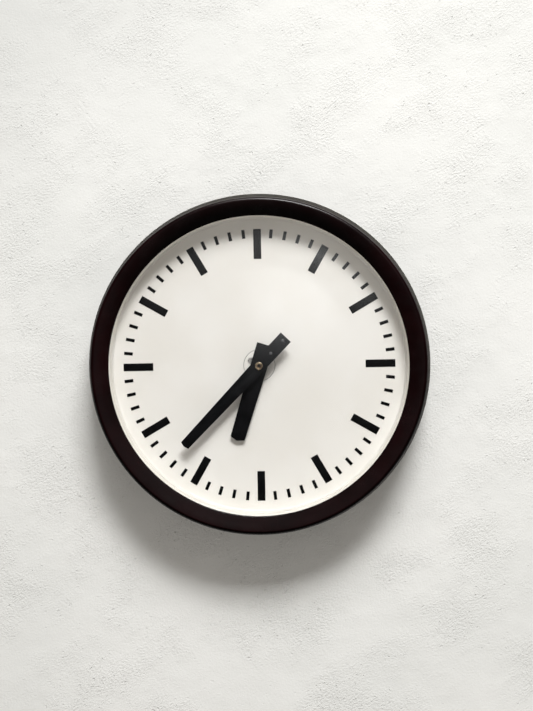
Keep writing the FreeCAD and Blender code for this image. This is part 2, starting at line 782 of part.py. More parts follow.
tongue = block("at.leaf_inner", "at.leaf_face", "at.tongue_back", "at.bezel_leaf_front", "-size.catch_half",
               "size.catch_half")
tongue_holes = [cross_rod("at.screw_hole", "at.leaf_inner", "at.leaf_face", "at.bezel_screw_depth",
                          f"{up}({CATCH_SCREW_Z})") for up in ("", "-")]
node(cut(tongue, group(tongue_holes)), "catch_tongue")

spring = new_body()
sketch = new_sketch(spring, "XY_Plane")
outline(sketch, (
    ("at.pad_face", "at.case_leaf_back"),
    ("at.pad_face + size.catch_sheet", "at.case_leaf_back"),
    ("at.pad_face + size.catch_sheet", "at.catch_bump_depth - size.leaf_gap"),
    ("at.leaf_inner - size.bump_gap", "at.catch_bump_depth"),
    ("at.pad_face + size.catch_sheet", "at.catch_bump_depth + size.leaf_gap"),
    ("at.pad_face", "at.catch_bump_depth + size.leaf_gap"),
), -1)
pad(spring, sketch, "2 * (size.catch_half - size.leaf_margin)", midplane=True)
sketch = new_sketch(spring, "YZ_Plane", "at.pad_face + size.catch_sheet")
circle(sketch, "-at.case_screw_depth", "0", "at.screw_hole")
pocket(spring, sketch, "size.catch_sheet")
node(spring, "catch_spring")

case_screws = [side_screw("-at.case_leaf_face", 1, "at.case_screw_depth", f"{up}({HINGE_SCREW_Z})")
               for up in ("", "-")]
case_screws.append(side_screw("at.pad_face + size.catch_sheet", -1, "at.case_screw_depth", "0"))
node(group(case_screws), "case_fitting_screws")
bezel_screws = [side_screw("-at.leaf_inner", -1, "at.bezel_screw_depth", f"{up}({HINGE_SCREW_Z})")
                for up in ("", "-")]
bezel_screws += [side_screw("at.leaf_inner", 1, "at.bezel_screw_depth", f"{up}({CATCH_SCREW_Z})")
                 for up in ("", "-")]
node(group(bezel_screws), "bezel_fitting_screws")

# Rear case

MOUNT_PLACES = [(f"{side}at.mount_screw_x", z)
                for side in ("", "-") for z in ("at.pillar_top", "at.pillar_bottom")]
HANGER_RIVETS = [(f"{side}(size.hanger_half_width - size.hanger_rivet_inset)",
                  f"at.hang_z + {up} * (size.hanger_half_height - size.hanger_rivet_inset)")
                 for side in ("", "-") for up in (1, -1)]

case = lathe((
    ("0", "0"),
    ("at.back_radius", "0", "size.back_round"),
    ("at.bowl_radius", "at.shelf_back"),
    ("at.flange_radius", "at.shelf_back"),
    ("at.flange_radius", "at.dial_back"),
    ("at.shelf_radius", "at.dial_back"),
    ("at.shelf_radius", "at.shelf_back"),
    ("at.bowl_inside", "at.shelf_back"),
    ("at.floor_inside", "size.floor_thickness"),
    ("0", "size.floor_thickness"),
))
sketch = new_sketch(case, "XZ_Plane", "size.floor_thickness")
for x, z in MOUNT_PLACES:
    circle(sketch, x, z, "size.boss_radius")
pad(case, sketch, "size.boss_height")
for sign, half in (("-", "size.hinge_half"), ("", "size.catch_half")):
    sketch = new_sketch(case, "XY_Plane")
    outline(sketch, (
        (f"{sign}(at.pad_face - size.pad_root)", "at.case_leaf_back"),
        (f"{sign}at.pad_face", "at.case_leaf_back"),
        (f"{sign}at.pad_face", "at.dial_back"),
        (f"{sign}(at.pad_face - size.pad_root)", "at.dial_back"),
    ), -1)
    pad(case, sketch, f"2 * ({half})", midplane=True)
NOTCH_INNER = "at.leaf_inner - size.notch_gap"
for sign, half in (("-", "size.hinge_half"), ("", "size.catch_half")):
    sketch = new_sketch(case, "XZ_Plane", "at.dial_back")
    height = f"({half} + size.notch_gap)"
    outer = "(at.flange_radius + size.notch_gap)"
    rectangle(sketch, f"{sign}({NOTCH_INNER})", f"{sign}{outer}", f"-{height}", height)
    pocket(case, sketch, "size.shelf_thickness")
sketch = new_sketch(case, "XZ_Plane", "size.floor_thickness")
rectangle(sketch, "-size.hanger_window", "size.hanger_window", "at.hang_z - size.hanger_window",
          "at.hang_z + size.hanger_window")
circle(sketch, "0", "at.inlet_z", "size.inlet_radius + size.grommet_wall")
for x, z in HANGER_RIVETS:
    circle(sketch, x, z, "at.screw_hole")
pocket(case, sketch, "size.floor_thickness")
sketch = new_sketch(case, "XZ_Plane", "size.hanger_thickness")
rectangle(sketch, "-size.hanger_half_width - size.screw_gap", "size.hanger_half_width + size.screw_gap",
          "at.hang_z - size.hanger_half_height - size.screw_gap",
          "at.hang_z + size.hanger_half_height + size.screw_gap")
pocket(case, sketch, "size.hanger_thickness")
sketch = new_sketch(case, "XZ_Plane", "at.back_plate")
for x, z in MOUNT_PLACES:
    circle(sketch, x, z, "at.screw_hole")
pocket(case, sketch, "size.screw_grip")
sketch = new_sketch(case, "XZ_Plane", "at.dial_back")
for angle in QUARTERS:
    circle(sketch, *polar("at.foot_distance", angle), "at.foot_hole")
pocket(case, sketch, "size.shelf_thickness")
sketch = new_sketch(case, "YZ_Plane", "-at.pad_face")
for up in ("", "-"):
    circle(sketch, "-at.case_screw_depth", f"{up}({HINGE_SCREW_Z})", "at.screw_hole")
pocket(case, sketch, "size.fitting_grip", turned=True)
sketch = new_sketch(case, "YZ_Plane", "at.pad_face")
circle(sketch, "-at.case_screw_depth", "0", "at.screw_hole")
pocket(case, sketch, "size.fitting_grip")
node(case, "rear_case")

hanger = new_body()
sketch = new_sketch(hanger, "XZ_Plane")
rectangle(sketch, "-size.hanger_half_width", "size.hanger_half_width",
          "at.hang_z - size.hanger_half_height", "at.hang_z + size.hanger_half_height")
circle(sketch, "0", "at.hang_z", "size.hang_radius")
for x, z in HANGER_RIVETS:
    circle(sketch, x, z, "at.screw_hole")
pad(hanger, sketch, "size.hanger_thickness")
node(hanger, "hanger_plate")
node(group([screw(x, z, "size.floor_thickness", "size.screw_gap") for x, z in HANGER_RIVETS]),
     "hanger_rivets")

grommet_front = "size.floor_thickness + size.grommet_flange"
grommet = lathe((
    ("size.inlet_radius", "0"),
    ("size.inlet_radius + size.grommet_wall - size.fit_gap", "0"),
    ("size.inlet_radius + size.grommet_wall - size.fit_gap", "size.floor_thickness"),
    ("size.inlet_radius + 2 * size.grommet_wall", "size.floor_thickness"),
    ("size.inlet_radius + 2 * size.grommet_wall", grommet_front),
    ("size.inlet_radius", grommet_front),
))
node(move(grommet, "0", "at.inlet_z"), "cable_grommet")

# Dial

dial_corner = "at.dial_edge_radius - size.dial_edge_run"
dial_hole = "size.hub_radius + size.hub_gap"
dial = lathe((
    (dial_hole, "at.dial_back"),
    (f"{dial_corner} + size.dial_thickness", "at.dial_back", "size.dial_edge_round + size.dial_thickness"),
    ("at.dial_edge_radius + size.dial_thickness", "at.dial_edge_front"),
    ("at.dial_edge_radius", "at.dial_edge_front"),
    (dial_corner, "at.dial_depth", "size.dial_edge_round"),
    (dial_hole, "at.dial_depth"),
))
node(dial, "dial_plate")


def bars(length, width, steps, skip):
    """Printed bars whose outer ends lie on one circle. Every skip-th place is left free."""
    body = new_body()
    sketch = new_sketch(body, "XZ_Plane", "at.dial_depth")
    inner = f"at.bar_outer_radius - {length}"
    first = 360 / steps if skip else 0
    rectangle(sketch, f"-{width} / 2", f"{width} / 2", inner, "at.bar_outer_radius")
    mark = pad(body, sketch, "size.print_thickness")
    originals = [mark]
    for index in range(2, skip):
        sketch = new_sketch(body, "XZ_Plane", "at.dial_depth")
        sketch.AttachmentOffset = Placement(Vector(), Rotation(Vector(0, 0, 1), -(index - 1) * first))
        sketch.setExpression("AttachmentOffset.Base.z", "at.dial_depth")
        rectangle(sketch, f"-{width} / 2", f"{width} / 2", inner, "at.bar_outer_radius")
        originals.append(pad(body, sketch, "size.print_thickness"))
    pattern = body.newObject("PartDesign::PolarPattern", "pattern")
    pattern.Originals = originals
    pattern.Axis = (origin(body, "Y_Axis"), [""])
    pattern.Angle = 360
    pattern.Occurrences = steps // skip if skip else steps
    body.Tip = pattern
    body.Placement = Placement(Vector(), Rotation(Vector(0, 1, 0), first))
    return body


node(bars("size.hour_bar_length", "size.hour_bar_width", 12, 0), "hour_bars")
node(bars("size.minute_bar_length", "size.minute_bar_width", 60, 5), "minute_bars")

FEET = [polar("at.foot_distance", angle) for angle in QUARTERS]
node(group([rod("size.foot_radius", "at.dial_back - size.foot_length", "at.dial_back", x, z)
            for x, z in FEET]), "dial_feet")
node(group([tube("at.foot_hole", "size.nut_radius", "at.shelf_back - size.nut_height", "at.shelf_back", x, z)
            for x, z in FEET]), "dial_nuts")


def drilled(body, front, depth):
    """Holes for the three screws round the hands."""
    holes = new_sketch(body, "XZ_Plane", front)
    for angle in THIRDS:
        circle(holes, *polar("size.centre_screw_distance", angle), "at.screw_hole")
    pocket(body, holes, depth)
    return body


hub = ring("size.hub_hole_radius", "size.hub_radius + size.hub_seat", "at.bridge_front", "at.dial_back")
node(drilled(hub, "at.dial_back", "at.dial_back - at.bridge_front"), "dial_hub_ring")
centre = ring("at.hour_pipe + size.screw_head_height", "size.hub_radius", "at.dial_back",
              "at.centre_plate_front")
node(drilled(centre, "at.centre_plate_front", "size.centre_plate_thickness"), "centre_plate")
node(group([screw(*polar("size.centre_screw_distance", angle), "at.centre_plate_front",
                  "at.bridge + size.screw_gap", head_radius="size.centre_screw_head_radius",
                  head_height="size.centre_screw_head_height") for angle in THIRDS]), "centre_plate_screws")

# Movement frame

PILLARS = [(f"{side}at.pillar_x", z) for side in ("", "-") for z in ("at.pillar_top", "at.pillar_bottom")]
STATOR_SCREWS = [(f"{side}at.pole_middle", z) for side in ("", "-") for z in ("size.core_z", ROTOR_Z)]
BRIDGE_PILLARS = [polar("size.bridge_pillar_distance", angle) for angle in (30, 150, 270)]


def plate(back, holes):
    body = new_body()
    sketch = new_sketch(body, "XZ_Plane", back)
    rectangle(sketch, "-size.plate_half_width", "size.plate_half_width", "size.plate_bottom",
              "size.plate_top")
    for x, z, radius in holes:
        circle(sketch, x, z, radius)
    pad(body, sketch, "size.plate_thickness")
    return body


pivots = [("0", STEP_Z, "at.pivot_hole"), ("0", ROTOR_Z, "at.pivot_hole")]
screw_places = [(x, z, "at.screw_hole") for x, z in PILLARS]
back_holes = pivots + screw_places + [("0", "0", "at.pivot_hole")]
back_holes += [(x, z, "at.screw_hole") for x, z in MOUNT_PLACES + STATOR_SCREWS]
node(plate("at.back_plate", back_holes), "movement_back_plate")
front_holes = pivots + screw_places + [("0", "0", "at.arbor_run"), (STUD_X, "0", "at.arbor_bore")]
front_holes += [(x, z, "at.screw_hole") for x, z in BRIDGE_PILLARS]
node(plate("at.front_plate", front_holes), "movement_front_plate")

node(group([tube("at.screw_hole", "size.pillar_radius", "at.back_plate_front", "at.front_plate", x, z)
            for x, z in PILLARS]), "movement_pillars")


def back_screw(x, z):
    """Screw driven from behind into a pillar."""
    head = rod("size.screw_head_radius", "at.back_plate - size.screw_head_height", "at.back_plate", x, z)
    shank = rod("size.screw_radius", "at.back_plate", "at.back_plate_front + size.screw_grip", x, z)
    return fuse(head, shank)


pillar_screws = [screw(x, z, "at.front_plate_front", "at.front_plate - size.screw_grip") for x, z in PILLARS]
pillar_screws += [back_screw(x, z) for x, z in PILLARS]
node(group(pillar_screws), "pillar_screws")
node(group([screw(x, z, "at.back_plate_front", "at.back_plate - size.screw_grip + size.screw_gap")
            for x, z in MOUNT_PLACES]), "movement_screws")

bridge = ring("at.hour_pipe + size.run_gap", "size.bridge_pillar_distance + size.bridge_margin",
              "at.bridge", "at.bridge_front")
sketch = new_sketch(bridge, "XZ_Plane", "at.bridge_front")
for x, z in BRIDGE_PILLARS + [polar("size.centre_screw_distance", angle) for angle in THIRDS]:
    circle(sketch, x, z, "at.screw_hole")
pocket(bridge, sketch, "size.plate_thickness")
node(bridge, "motion_bridge")
node(group([tube("at.screw_hole", "size.pillar_radius", "at.front_plate_front", "at.bridge", x, z)
            for x, z in BRIDGE_PILLARS]), "bridge_pillars")
node(group([screw(x, z, "at.bridge_front", "at.front_plate") for x, z in BRIDGE_PILLARS]), "bridge_screws")
node(rod("size.arbor_radius", "at.front_plate", "at.bridge - size.end_shake", STUD_X, "0"), "motion_stud")

# Step motor

poles = []
for left, right, root, end in (("size.pole_inside", "at.pole_outside", "0", "size.pole_inside"),
                               ("-at.pole_outside", "-size.pole_inside", "-size.pole_inside", "0")):
    leg = block(left, right, "at.stator", "at.stator_front", f"{ROTOR_Z} - size.pole_height / 2",
                "size.core_z + size.core_height / 2")
    shoe = block(root, end, "at.stator", "at.stator_front", f"{ROTOR_Z} - size.pole_height / 2",
                 f"{ROTOR_Z} + size.pole_height / 2")
    holes = [rod("size.rotor_radius + size.air_gap", "at.stator", "at.stator_front", "0", ROTOR_Z)]
    holes += [rod("at.screw_hole", "at.stator", "at.stator_front", x, z) for x, z in STATOR_SCREWS]
    poles.append(cut(fuse(leg, shoe), group(holes)))
node(group(poles), "stator_poles")
node(group([tube("at.screw_hole", "size.stator_spacer_radius", "at.back_plate_front", "at.stator", x, z)
            for x, z in STATOR_SCREWS]), "stator_spacers")
node(group([screw(x, z, "at.stator_front", "at.back_plate") for x, z in STATOR_SCREWS]), "stator_screws")


def coil_box(half_length, depth_size, height):
    """Block about the middle of the coil's core."""
    return block(f"-({half_length})", half_length, f"at.stator_middle - ({depth_size}) / 2",
                 f"at.stator_middle + ({depth_size}) / 2", f"size.core_z - ({height}) / 2",
                 f"size.core_z + ({height}) / 2")


core_room = "2 * size.screw_gap"
tube_depth = f"size.stator_thickness + {core_room} + 2 * size.bobbin_wall"
tube_height = f"size.core_height + {core_room} + 2 * size.bobbin_wall"
inner_half = "size.bobbin_half_length - size.bobbin_flange"
spool = coil_box("size.bobbin_half_length", "size.bobbin_flange_depth", "size.bobbin_flange_height")
waist = cut(coil_box(inner_half, "2 * size.bobbin_flange_depth", "2 * size.bobbin_flange_height"),
            coil_box("size.pole_inside", tube_depth, tube_height))
passage = coil_box("size.pole_inside", f"size.stator_thickness + {core_room}",
                   f"size.core_height + {core_room}")
node(coil_box("size.pole_inside", "size.stator_thickness", "size.core_height"), "coil_core")
node(cut(cut(spool, waist), passage), "coil_bobbin")
wound_depth = "size.bobbin_flange_depth - 2 * size.winding_inset"
wound_height = "size.bobbin_flange_height - 2 * size.winding_inset"
node(cut(coil_box(inner_half, wound_depth, wound_height),
         coil_box("size.bobbin_half_length", tube_depth, tube_height)), "coil_winding")

# Wiring

terminal_front = "size.floor_thickness + size.terminal_thickness"
terminal_top = "at.terminal_z + size.terminal_height / 2"
terminal = new_body()
sketch = new_sketch(terminal, "XZ_Plane", "size.floor_thickness")
rectangle(sketch, "-size.terminal_half_width", "size.terminal_half_width",
          "at.terminal_z - size.terminal_height / 2", terminal_top)
pad(terminal, sketch, "size.terminal_thickness")
sketch = new_sketch(terminal, "XZ_Plane", terminal_front)
TERMINALS = ("size.terminal_screw_x", "-size.terminal_screw_x")
for x in TERMINALS:
    circle(sketch, x, "at.terminal_z", "at.screw_hole")
pocket(terminal, sketch, "size.screw_grip + size.screw_gap")
node(terminal, "terminal_block")
node(group([screw(x, "at.terminal_z", terminal_front, f"{terminal_front} - size.screw_grip")
            for x in TERMINALS]), "terminal_screws")


def lead(side):
    """Coil wire from the bobbin's flange down to the terminal block, with its corners rounded."""
    entry_z = value(terminal_top)
    entry_depth = value("size.floor_thickness + size.terminal_thickness / 2")
    entry_x = side * value("size.terminal_screw_x")
    start_x = side * value("size.lead_x")
    depth = value("size.lead_depth")
    points = [
        Vector(start_x, -depth, value("size.core_z - size.bobbin_flange_height / 2")),
        Vector(start_x, -depth, value("size.lead_turn_z")),
        Vector(entry_x, -entry_depth, entry_z + value("size.lead_entry_run")),
        Vector(entry_x, -entry_depth, entry_z),
    ]
    edges = []
    begin = points[0]
    for index in (1, 2):
        corner = points[index]
        back = points[index - 1] - corner
        ahead = points[index + 1] - corner
        run = 0.45 * min(back.Length, ahead.Length)
        start = corner + back.normalize() * run
        stop = corner + ahead.normalize() * run
        half_turn = (math.pi - back.getAngle(ahead)) / 2
        radius = run / math.tan(half_turn)
        inward = (back + ahead).normalize()
        middle = corner + inward * (radius / math.cos(half_turn) - radius)
        edges.append(Part.LineSegment(begin, start).toShape())
        edges.append(Part.Arc(start, middle, stop).toShape())
        begin = stop
    edges.append(Part.LineSegment(begin, points[3]).toShape())
    section = Part.Wire(Part.makeCircle(value("size.lead_radius"), points[0], Vector(0, 0, 1)))
    return Part.Wire(edges).makePipeShell([section], True, False)


leads = doc.addObject("Part::Feature", "leads")
leads.Shape = Part.Compound([lead(1), lead(-1)])
node(leads, "coil_leads")

# Train. Each gear takes its phase from the one that it meshes with.

CENTRE_PHASE = 0.0
CANNON_PHASE = 0.0
step_phase = meshing(CENTRE_TEETH, CENTRE_PHASE, STEP_PINION_TEETH, DOWN)
rotor_phase = meshing(STEP_TEETH, step_phase, ROTOR_PINION_TEETH, DOWN)
minute_phase = meshing(CANNON_TEETH, CANNON_PHASE, MINUTE_TEETH, RIGHT)
minute_pinion_phase = minute_phase
hour_phase = meshing(MINUTE_PINION_TEETH, minute_pinion_phase, HOUR_TEETH, RIGHT + math.pi)


def pinion_arbor(teeth, phase, level):
    """Arbor with pivots in both plates and its pinion cut from the same bar."""
    back = f"at.{level} - size.pinion_overhang"
    front = f"at.{level} + size.wheel_thickness + size.pinion_overhang"
    bar = ("size.arbor_radius", "at.back_plate_front + size.end_shake", "at.front_plate - size.end_shake")
    pivot = ("size.pivot_radius", "at.back_plate", "at.front_plate_front")
    return gear(teeth, phase, back, front, None, (bar, pivot))


def wheel(teeth, phase, level, bore, extra=()):
    return gear(teeth, phase, f"at.{level}", f"at.{level} + size.wheel_thickness", bore, extra)


node(move(pinion_arbor(STEP_PINION_TEETH, step_phase, "centre_wheel"), "0", STEP_Z), "intermediate_arbor")
node(move(wheel(STEP_TEETH, step_phase, "step_wheel", "at.arbor_bore"), "0", STEP_Z), "intermediate_wheel")
node(move(pinion_arbor(ROTOR_PINION_TEETH, rotor_phase, "step_wheel"), "0", ROTOR_Z), "rotor_arbor")
node(move(ring("at.arbor_bore", "size.rotor_radius", "at.rotor", "at.rotor + size.rotor_length"),
          "0", ROTOR_Z), "rotor_magnet")

node(lathe((
    ("0", "at.back_plate"),
    ("size.pivot_radius", "at.back_plate"),
    ("size.pivot_radius", "at.back_plate_front + size.end_shake"),
    ("size.arbor_radius", "at.back_plate_front + size.end_shake"),
    ("size.arbor_radius", "at.arbor_front"),
    ("0", "at.arbor_front"),
)), "minute_arbor")
node(wheel(CENTRE_TEETH, CENTRE_PHASE, "centre_wheel", "at.arbor_bore"), "centre_wheel")
cannon_back = "at.minute_wheel - size.pinion_overhang"
cannon_front = "at.minute_wheel + size.wheel_thickness"
node(gear(CANNON_TEETH, CANNON_PHASE, cannon_back, cannon_front, "at.arbor_bore",
          [("at.cannon_pipe", cannon_back, "at.minute_hand_front")]), "cannon_pinion")

hub_back = "at.minute_wheel - size.pinion_overhang"
pinion_back = "at.minute_wheel + size.wheel_thickness"
minute_pinion = gear(MINUTE_PINION_TEETH, minute_pinion_phase, pinion_back,
                     "at.bridge - 2 * size.end_shake", "at.arbor_run",
                     [("at.pinion_hub", hub_back, pinion_back)])
node(move(minute_pinion, STUD_X, "0"), "minute_pinion")
node(move(wheel(MINUTE_TEETH, minute_phase, "minute_wheel", "at.pinion_hub + size.fit_gap"), STUD_X, "0"),
     "minute_wheel")
node(wheel(HOUR_TEETH, hour_phase, "hour_wheel", "at.hour_pipe_bore",
           [("at.hour_pipe", "at.hour_wheel", "at.hour_hand + size.hand_thickness")]), "hour_wheel")

# Hands


def baton(back, length, tail, tail_width, tip_width, point, holes):
    """Flat hand that points to twelve: a straight tail, then a taper to a blunt tip."""
    body = new_body()
    sketch = new_sketch(body, "XZ_Plane", back)
    outline(sketch, (
        (f"-{tail_width} / 2", f"-{tail}"),
        (f"{tail_width} / 2", f"-{tail}"),
        (f"{tail_width} / 2", "0"),
        (f"{tip_width} / 2", f"{length} - {point}"),
        ("0", length),
        (f"-{tip_width} / 2", f"{length} - {point}"),
        (f"-{tail_width} / 2", "0"),
    ), 1)
    for z, radius in holes:
        circle(sketch, "0", z, radius)
    pad(body, sketch, "size.hand_thickness")
    return body


RIVETS = ("-size.rivet_near", "-size.rivet_far")
hour_hand = baton("at.hour_hand", "size.hour_length", "size.hour_tail", "size.hour_tail_width",
                  "size.hour_tip_width", "size.hour_point", [("0", "at.hour_pipe + size.fit_gap")])
node(turn_to(hour_hand, "size.hour_angle"), "hour_hand")
node(ring("at.hour_pipe + size.fit_gap", "size.hour_boss_radius", "at.hour_hand - size.hour_boss_height",
          "at.hour_hand"), "hour_boss")
minute_holes = [("0", "at.cannon_pipe + size.fit_gap")] + [(z, "at.rivet_hole") for z in RIVETS]
minute_hand = baton("at.minute_hand", "size.minute_length", "size.minute_tail", "size.minute_tail_width",
                    "size.minute_tip_width", "size.minute_point", minute_holes)
node(turn_to(minute_hand, "size.minute_angle"), "minute_hand")
node(ring("at.cannon_pipe + size.fit_gap", "size.minute_boss_radius",
          "at.minute_hand - size.minute_boss_height", "at.minute_hand"), "minute_boss")
node(ring("at.arbor_bore", "size.hand_nut_radius", "at.minute_hand_front", "at.nut_front"), "hand_nut")

weight_back = "at.minute_hand - size.counterweight_thickness"
weight = new_body()
sketch = new_sketch(weight, "XZ_Plane", weight_back)
rectangle(sketch, "-size.counterweight_width / 2", "size.counterweight_width / 2",
          "-size.minute_tail + size.rivet_head_radius / 2", "-size.counterweight_start")
for z in RIVETS:
    circle(sketch, "0", z, "at.rivet_hole")
pad(weight, sketch, "size.counterweight_thickness")
node(turn_to(weight, "size.minute_angle"), "counterweight")


def rivet(distance):
    """Rivet through the minute hand's tail and its weight, with a low head in front."""
    x, z = polar(distance, "size.minute_angle + 180")
    return screw(x, z, "at.minute_hand_front", weight_back, radius="size.rivet_radius",
                 head_radius="size.rivet_head_radius", head_height="size.rivet_head_height")


node(group([rivet("size.rivet_near"), rivet("size.rivet_far")]), "counterweight_rivets")

# Check every object, then write one file for each sub-part.

doc.recompute()
for item in doc.Objects:
    if "Invalid" in item.State or "Error" in item.State:
        raise RuntimeError(f"{item.Name} of {item.getParentGroup()} did not build: {item.State}")
    if item.TypeId == "PartDesign::Pocket" and item.Shape.Volume > item.BaseFeature.Shape.Volume - 1e-6:
        raise RuntimeError(f"{item.Name} cuts nothing")
os.makedirs("parts", exist_ok=True)
for item in nodes:
    if item.Shape.isNull() or not item.Shape.isValid():
        raise RuntimeError(f"{item.Label} has no valid shape")
    item.Shape.exportStep(f"parts/{item.Label}.step")
    print(f"{item.Label}: {len(item.Shape.Solids)} solids, {item.Shape.Volume / 1000:.2f} cm3")
print(f"{len(nodes)} sub-parts")
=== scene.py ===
# %% [markdown]
# A factory wall clock: a dark bakelite bezel with a domed glass, a white dial with bars and two black hands.
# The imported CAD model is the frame. It holds every size and every joint, so this lesson adds the looks:
# smooth turned meshes, small fasteners, finishes, a wall, light and a camera.

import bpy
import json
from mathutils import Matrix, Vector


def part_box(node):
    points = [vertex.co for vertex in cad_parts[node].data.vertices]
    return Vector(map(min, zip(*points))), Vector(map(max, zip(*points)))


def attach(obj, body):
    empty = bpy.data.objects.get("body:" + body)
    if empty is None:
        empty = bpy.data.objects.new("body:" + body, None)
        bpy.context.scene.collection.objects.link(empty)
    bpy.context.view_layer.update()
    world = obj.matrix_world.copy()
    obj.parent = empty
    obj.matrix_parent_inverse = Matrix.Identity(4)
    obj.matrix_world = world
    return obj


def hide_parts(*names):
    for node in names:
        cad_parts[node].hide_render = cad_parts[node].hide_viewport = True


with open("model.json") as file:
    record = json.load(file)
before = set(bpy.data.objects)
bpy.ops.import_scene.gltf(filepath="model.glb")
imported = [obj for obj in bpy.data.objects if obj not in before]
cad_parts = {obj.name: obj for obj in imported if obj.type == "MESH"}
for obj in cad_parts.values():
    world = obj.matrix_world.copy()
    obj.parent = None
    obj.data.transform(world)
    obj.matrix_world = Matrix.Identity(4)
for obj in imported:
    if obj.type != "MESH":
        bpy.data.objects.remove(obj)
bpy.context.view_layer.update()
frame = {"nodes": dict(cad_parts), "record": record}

# %% [markdown]
# Lengths here are metres, and one millimetre gets a name because clock parts are small.
# A depth is a distance in front of the wall, so a point at depth d has y = -d, and the hands turn about Y.
# Reading radii and depths from the CAD meshes keeps every new piece on the frame without copying numbers.

# %% Measures from the frame
import json
from math import cos, hypot, pi, radians, sin, sqrt, tan

import bmesh
import bpy
from mathutils import Matrix, Vector
from mathutils.geometry import convex_hull_2d

MM = 0.001
nodes = frame["nodes"]


def span(node):
    """Least and greatest distance from the hands' axis, then least and greatest depth, of a CAD node."""
    points = [vertex.co for vertex in nodes[node].data.vertices]
    reach = [hypot(point.x, point.z) for point in points]
    depth = [-point.y for point in points]
    return min(reach), max(reach), min(depth), max(depth)


opening, rim, skirt_back, bezel_front = span("bezel_ring")
_, glass_edge, glass_back, glass_crown = span("glass")
dial_hole, dial_edge, dial_back, cove_front = span("dial_plate")
_, bar_outer, dial_front, print_front = span("hour_bars")
print(f"rim {rim / MM:.1f} mm, opening {opening / MM:.1f} mm, dial at depth {dial_front / MM:.1f} mm")

# %% [markdown]
# The camera stands nearly square to the clock, a little high and a little to the right, a long step away.
# A long lens keeps the rim round. The dial's middle is put on its own pixel by aiming beside it,
# and a small roll turns the dial as it hangs in the picture.

# %% Camera
IMAGE_WIDTH = 533
IMAGE_HEIGHT = 711
DIAL_PIXEL = (259.35, 365.2)
LENS = 75.0
SENSOR = 36.0
VIEW_AZIMUTH = radians(1.15)
VIEW_ELEVATION = radians(2.1)
VIEW_DISTANCE = 1.403
DIAL_TILT = radians(1.0)


def add_object(name, data):
    """New object in the scene."""
    item = bpy.data.objects.new(name, data)
    bpy.context.scene.collection.objects.link(item)
    return item


camera_data = bpy.data.cameras.new("camera")
camera_data.lens = LENS
camera_data.sensor_width = SENSOR
camera = add_object("camera", camera_data)
bpy.context.scene.camera = camera

outward = Vector((sin(VIEW_AZIMUTH) * cos(VIEW_ELEVATION),
                  -cos(VIEW_AZIMUTH) * cos(VIEW_ELEVATION), sin(VIEW_ELEVATION)))
eye = Vector((0, -bezel_front, 0)) + outward * VIEW_DISTANCE
dial_middle = Vector((0, -dial_front, 0))
level_right = Vector((0, 0, 1)).cross(outward).normalized()
level_up = outward.cross(level_right)
image_up = level_up * cos(DIAL_TILT) + level_right * sin(DIAL_TILT)
image_right = image_up.cross(outward)
focal_pixels = LENS / SENSOR * IMAGE_HEIGHT
pixel_size = (eye - dial_middle).length / focal_pixels
aim = dial_middle + image_right * (IMAGE_WIDTH / 2 - DIAL_PIXEL[0]) * pixel_size
aim += image_up * (DIAL_PIXEL[1] - IMAGE_HEIGHT / 2) * pixel_size
backward = (eye - aim).normalized()
sideways = image_up.cross(backward).normalized()
axes = Matrix((sideways, backward.cross(sideways), backward)).transposed()
camera.matrix_world = Matrix.Translation(eye) @ axes.to_4x4()
print(f"camera at {tuple(round(value, 3) for value in eye)}, a pixel is {pixel_size / MM:.2f} mm on the dial")

# %% [markdown]
# Node trees are the same kind of thing in shaders and in geometry, so one small helper builds both.
# An input takes a plain value, or the output of an earlier node, which is then linked to it.
# A noise call ends with its detail and roughness, a band call with where it starts and where it is full.
# Two more helpers start a material, and end one that lets some rays through.

# %% Node helpers
def put(tree, kind, inputs=None, **settings):
    """New node in a tree, with its settings and its inputs."""
    item = tree.nodes.new(kind)
    for key, content in settings.items():
        setattr(item, key, content)
    for key, content in (inputs or {}).items():
        if isinstance(content, bpy.types.NodeSocket):
            tree.links.new(content, item.inputs[key])
        else:
            item.inputs[key].default_value = content
    return item


def calc(tree, operation, *values):
    """Output of a Math node on plain values or other outputs."""
    return put(tree, "ShaderNodeMath", dict(enumerate(values)), operation=operation).outputs[0]


def place_in(tree):
    """Place of a shaded point in its object's own axes."""
    return put(tree, "ShaderNodeTexCoord").outputs["Object"]


def noise(tree, vector, scale, detail=3.0, roughness=0.5):
    """Noise value between 0 and 1 at a place."""
    inputs = {"Vector": vector, "Scale": scale, "Detail": detail, "Roughness": roughness}
    return put(tree, "ShaderNodeTexNoise", inputs).outputs["Fac"]


def band(tree, value, low, high, to_low=0.0, to_high=1.0):
    """A value stretched so that low becomes to_low and high becomes to_high, and clamped there."""
    inputs = {"Value": value, "From Min": low, "From Max": high, "To Min": to_low, "To Max": to_high}
    return put(tree, "ShaderNodeMapRange", inputs, interpolation_type="SMOOTHSTEP").outputs["Result"]


def blend_colours(tree, share, first, second):
    """Mix of two colours by a share between 0 and 1."""
    return put(tree, "ShaderNodeMix", {0: share, 6: first, 7: second}, data_type="RGBA").outputs[2]


def new_material(name, constants):
    """New material with the shader's own constants. Returns it, its node tree and its shader."""
    finish = bpy.data.materials.new(name)
    finish.use_nodes = True
    shader = finish.node_tree.nodes["Principled BSDF"]
    for key, content in constants.items():
        shader.inputs[key].default_value = content
    return finish, finish.node_tree, shader


def let_through(tree, share, surface):
    """End a material with a surface that lets rays straight through by a share."""
    clear = put(tree, "ShaderNodeBsdfTransparent")
    choice = put(tree, "ShaderNodeMixShader", {0: share, 1: surface.outputs[0], 2: clear.outputs[0]})
    tree.links.new(choice.outputs[0], tree.nodes["Material Output"].inputs["Surface"])


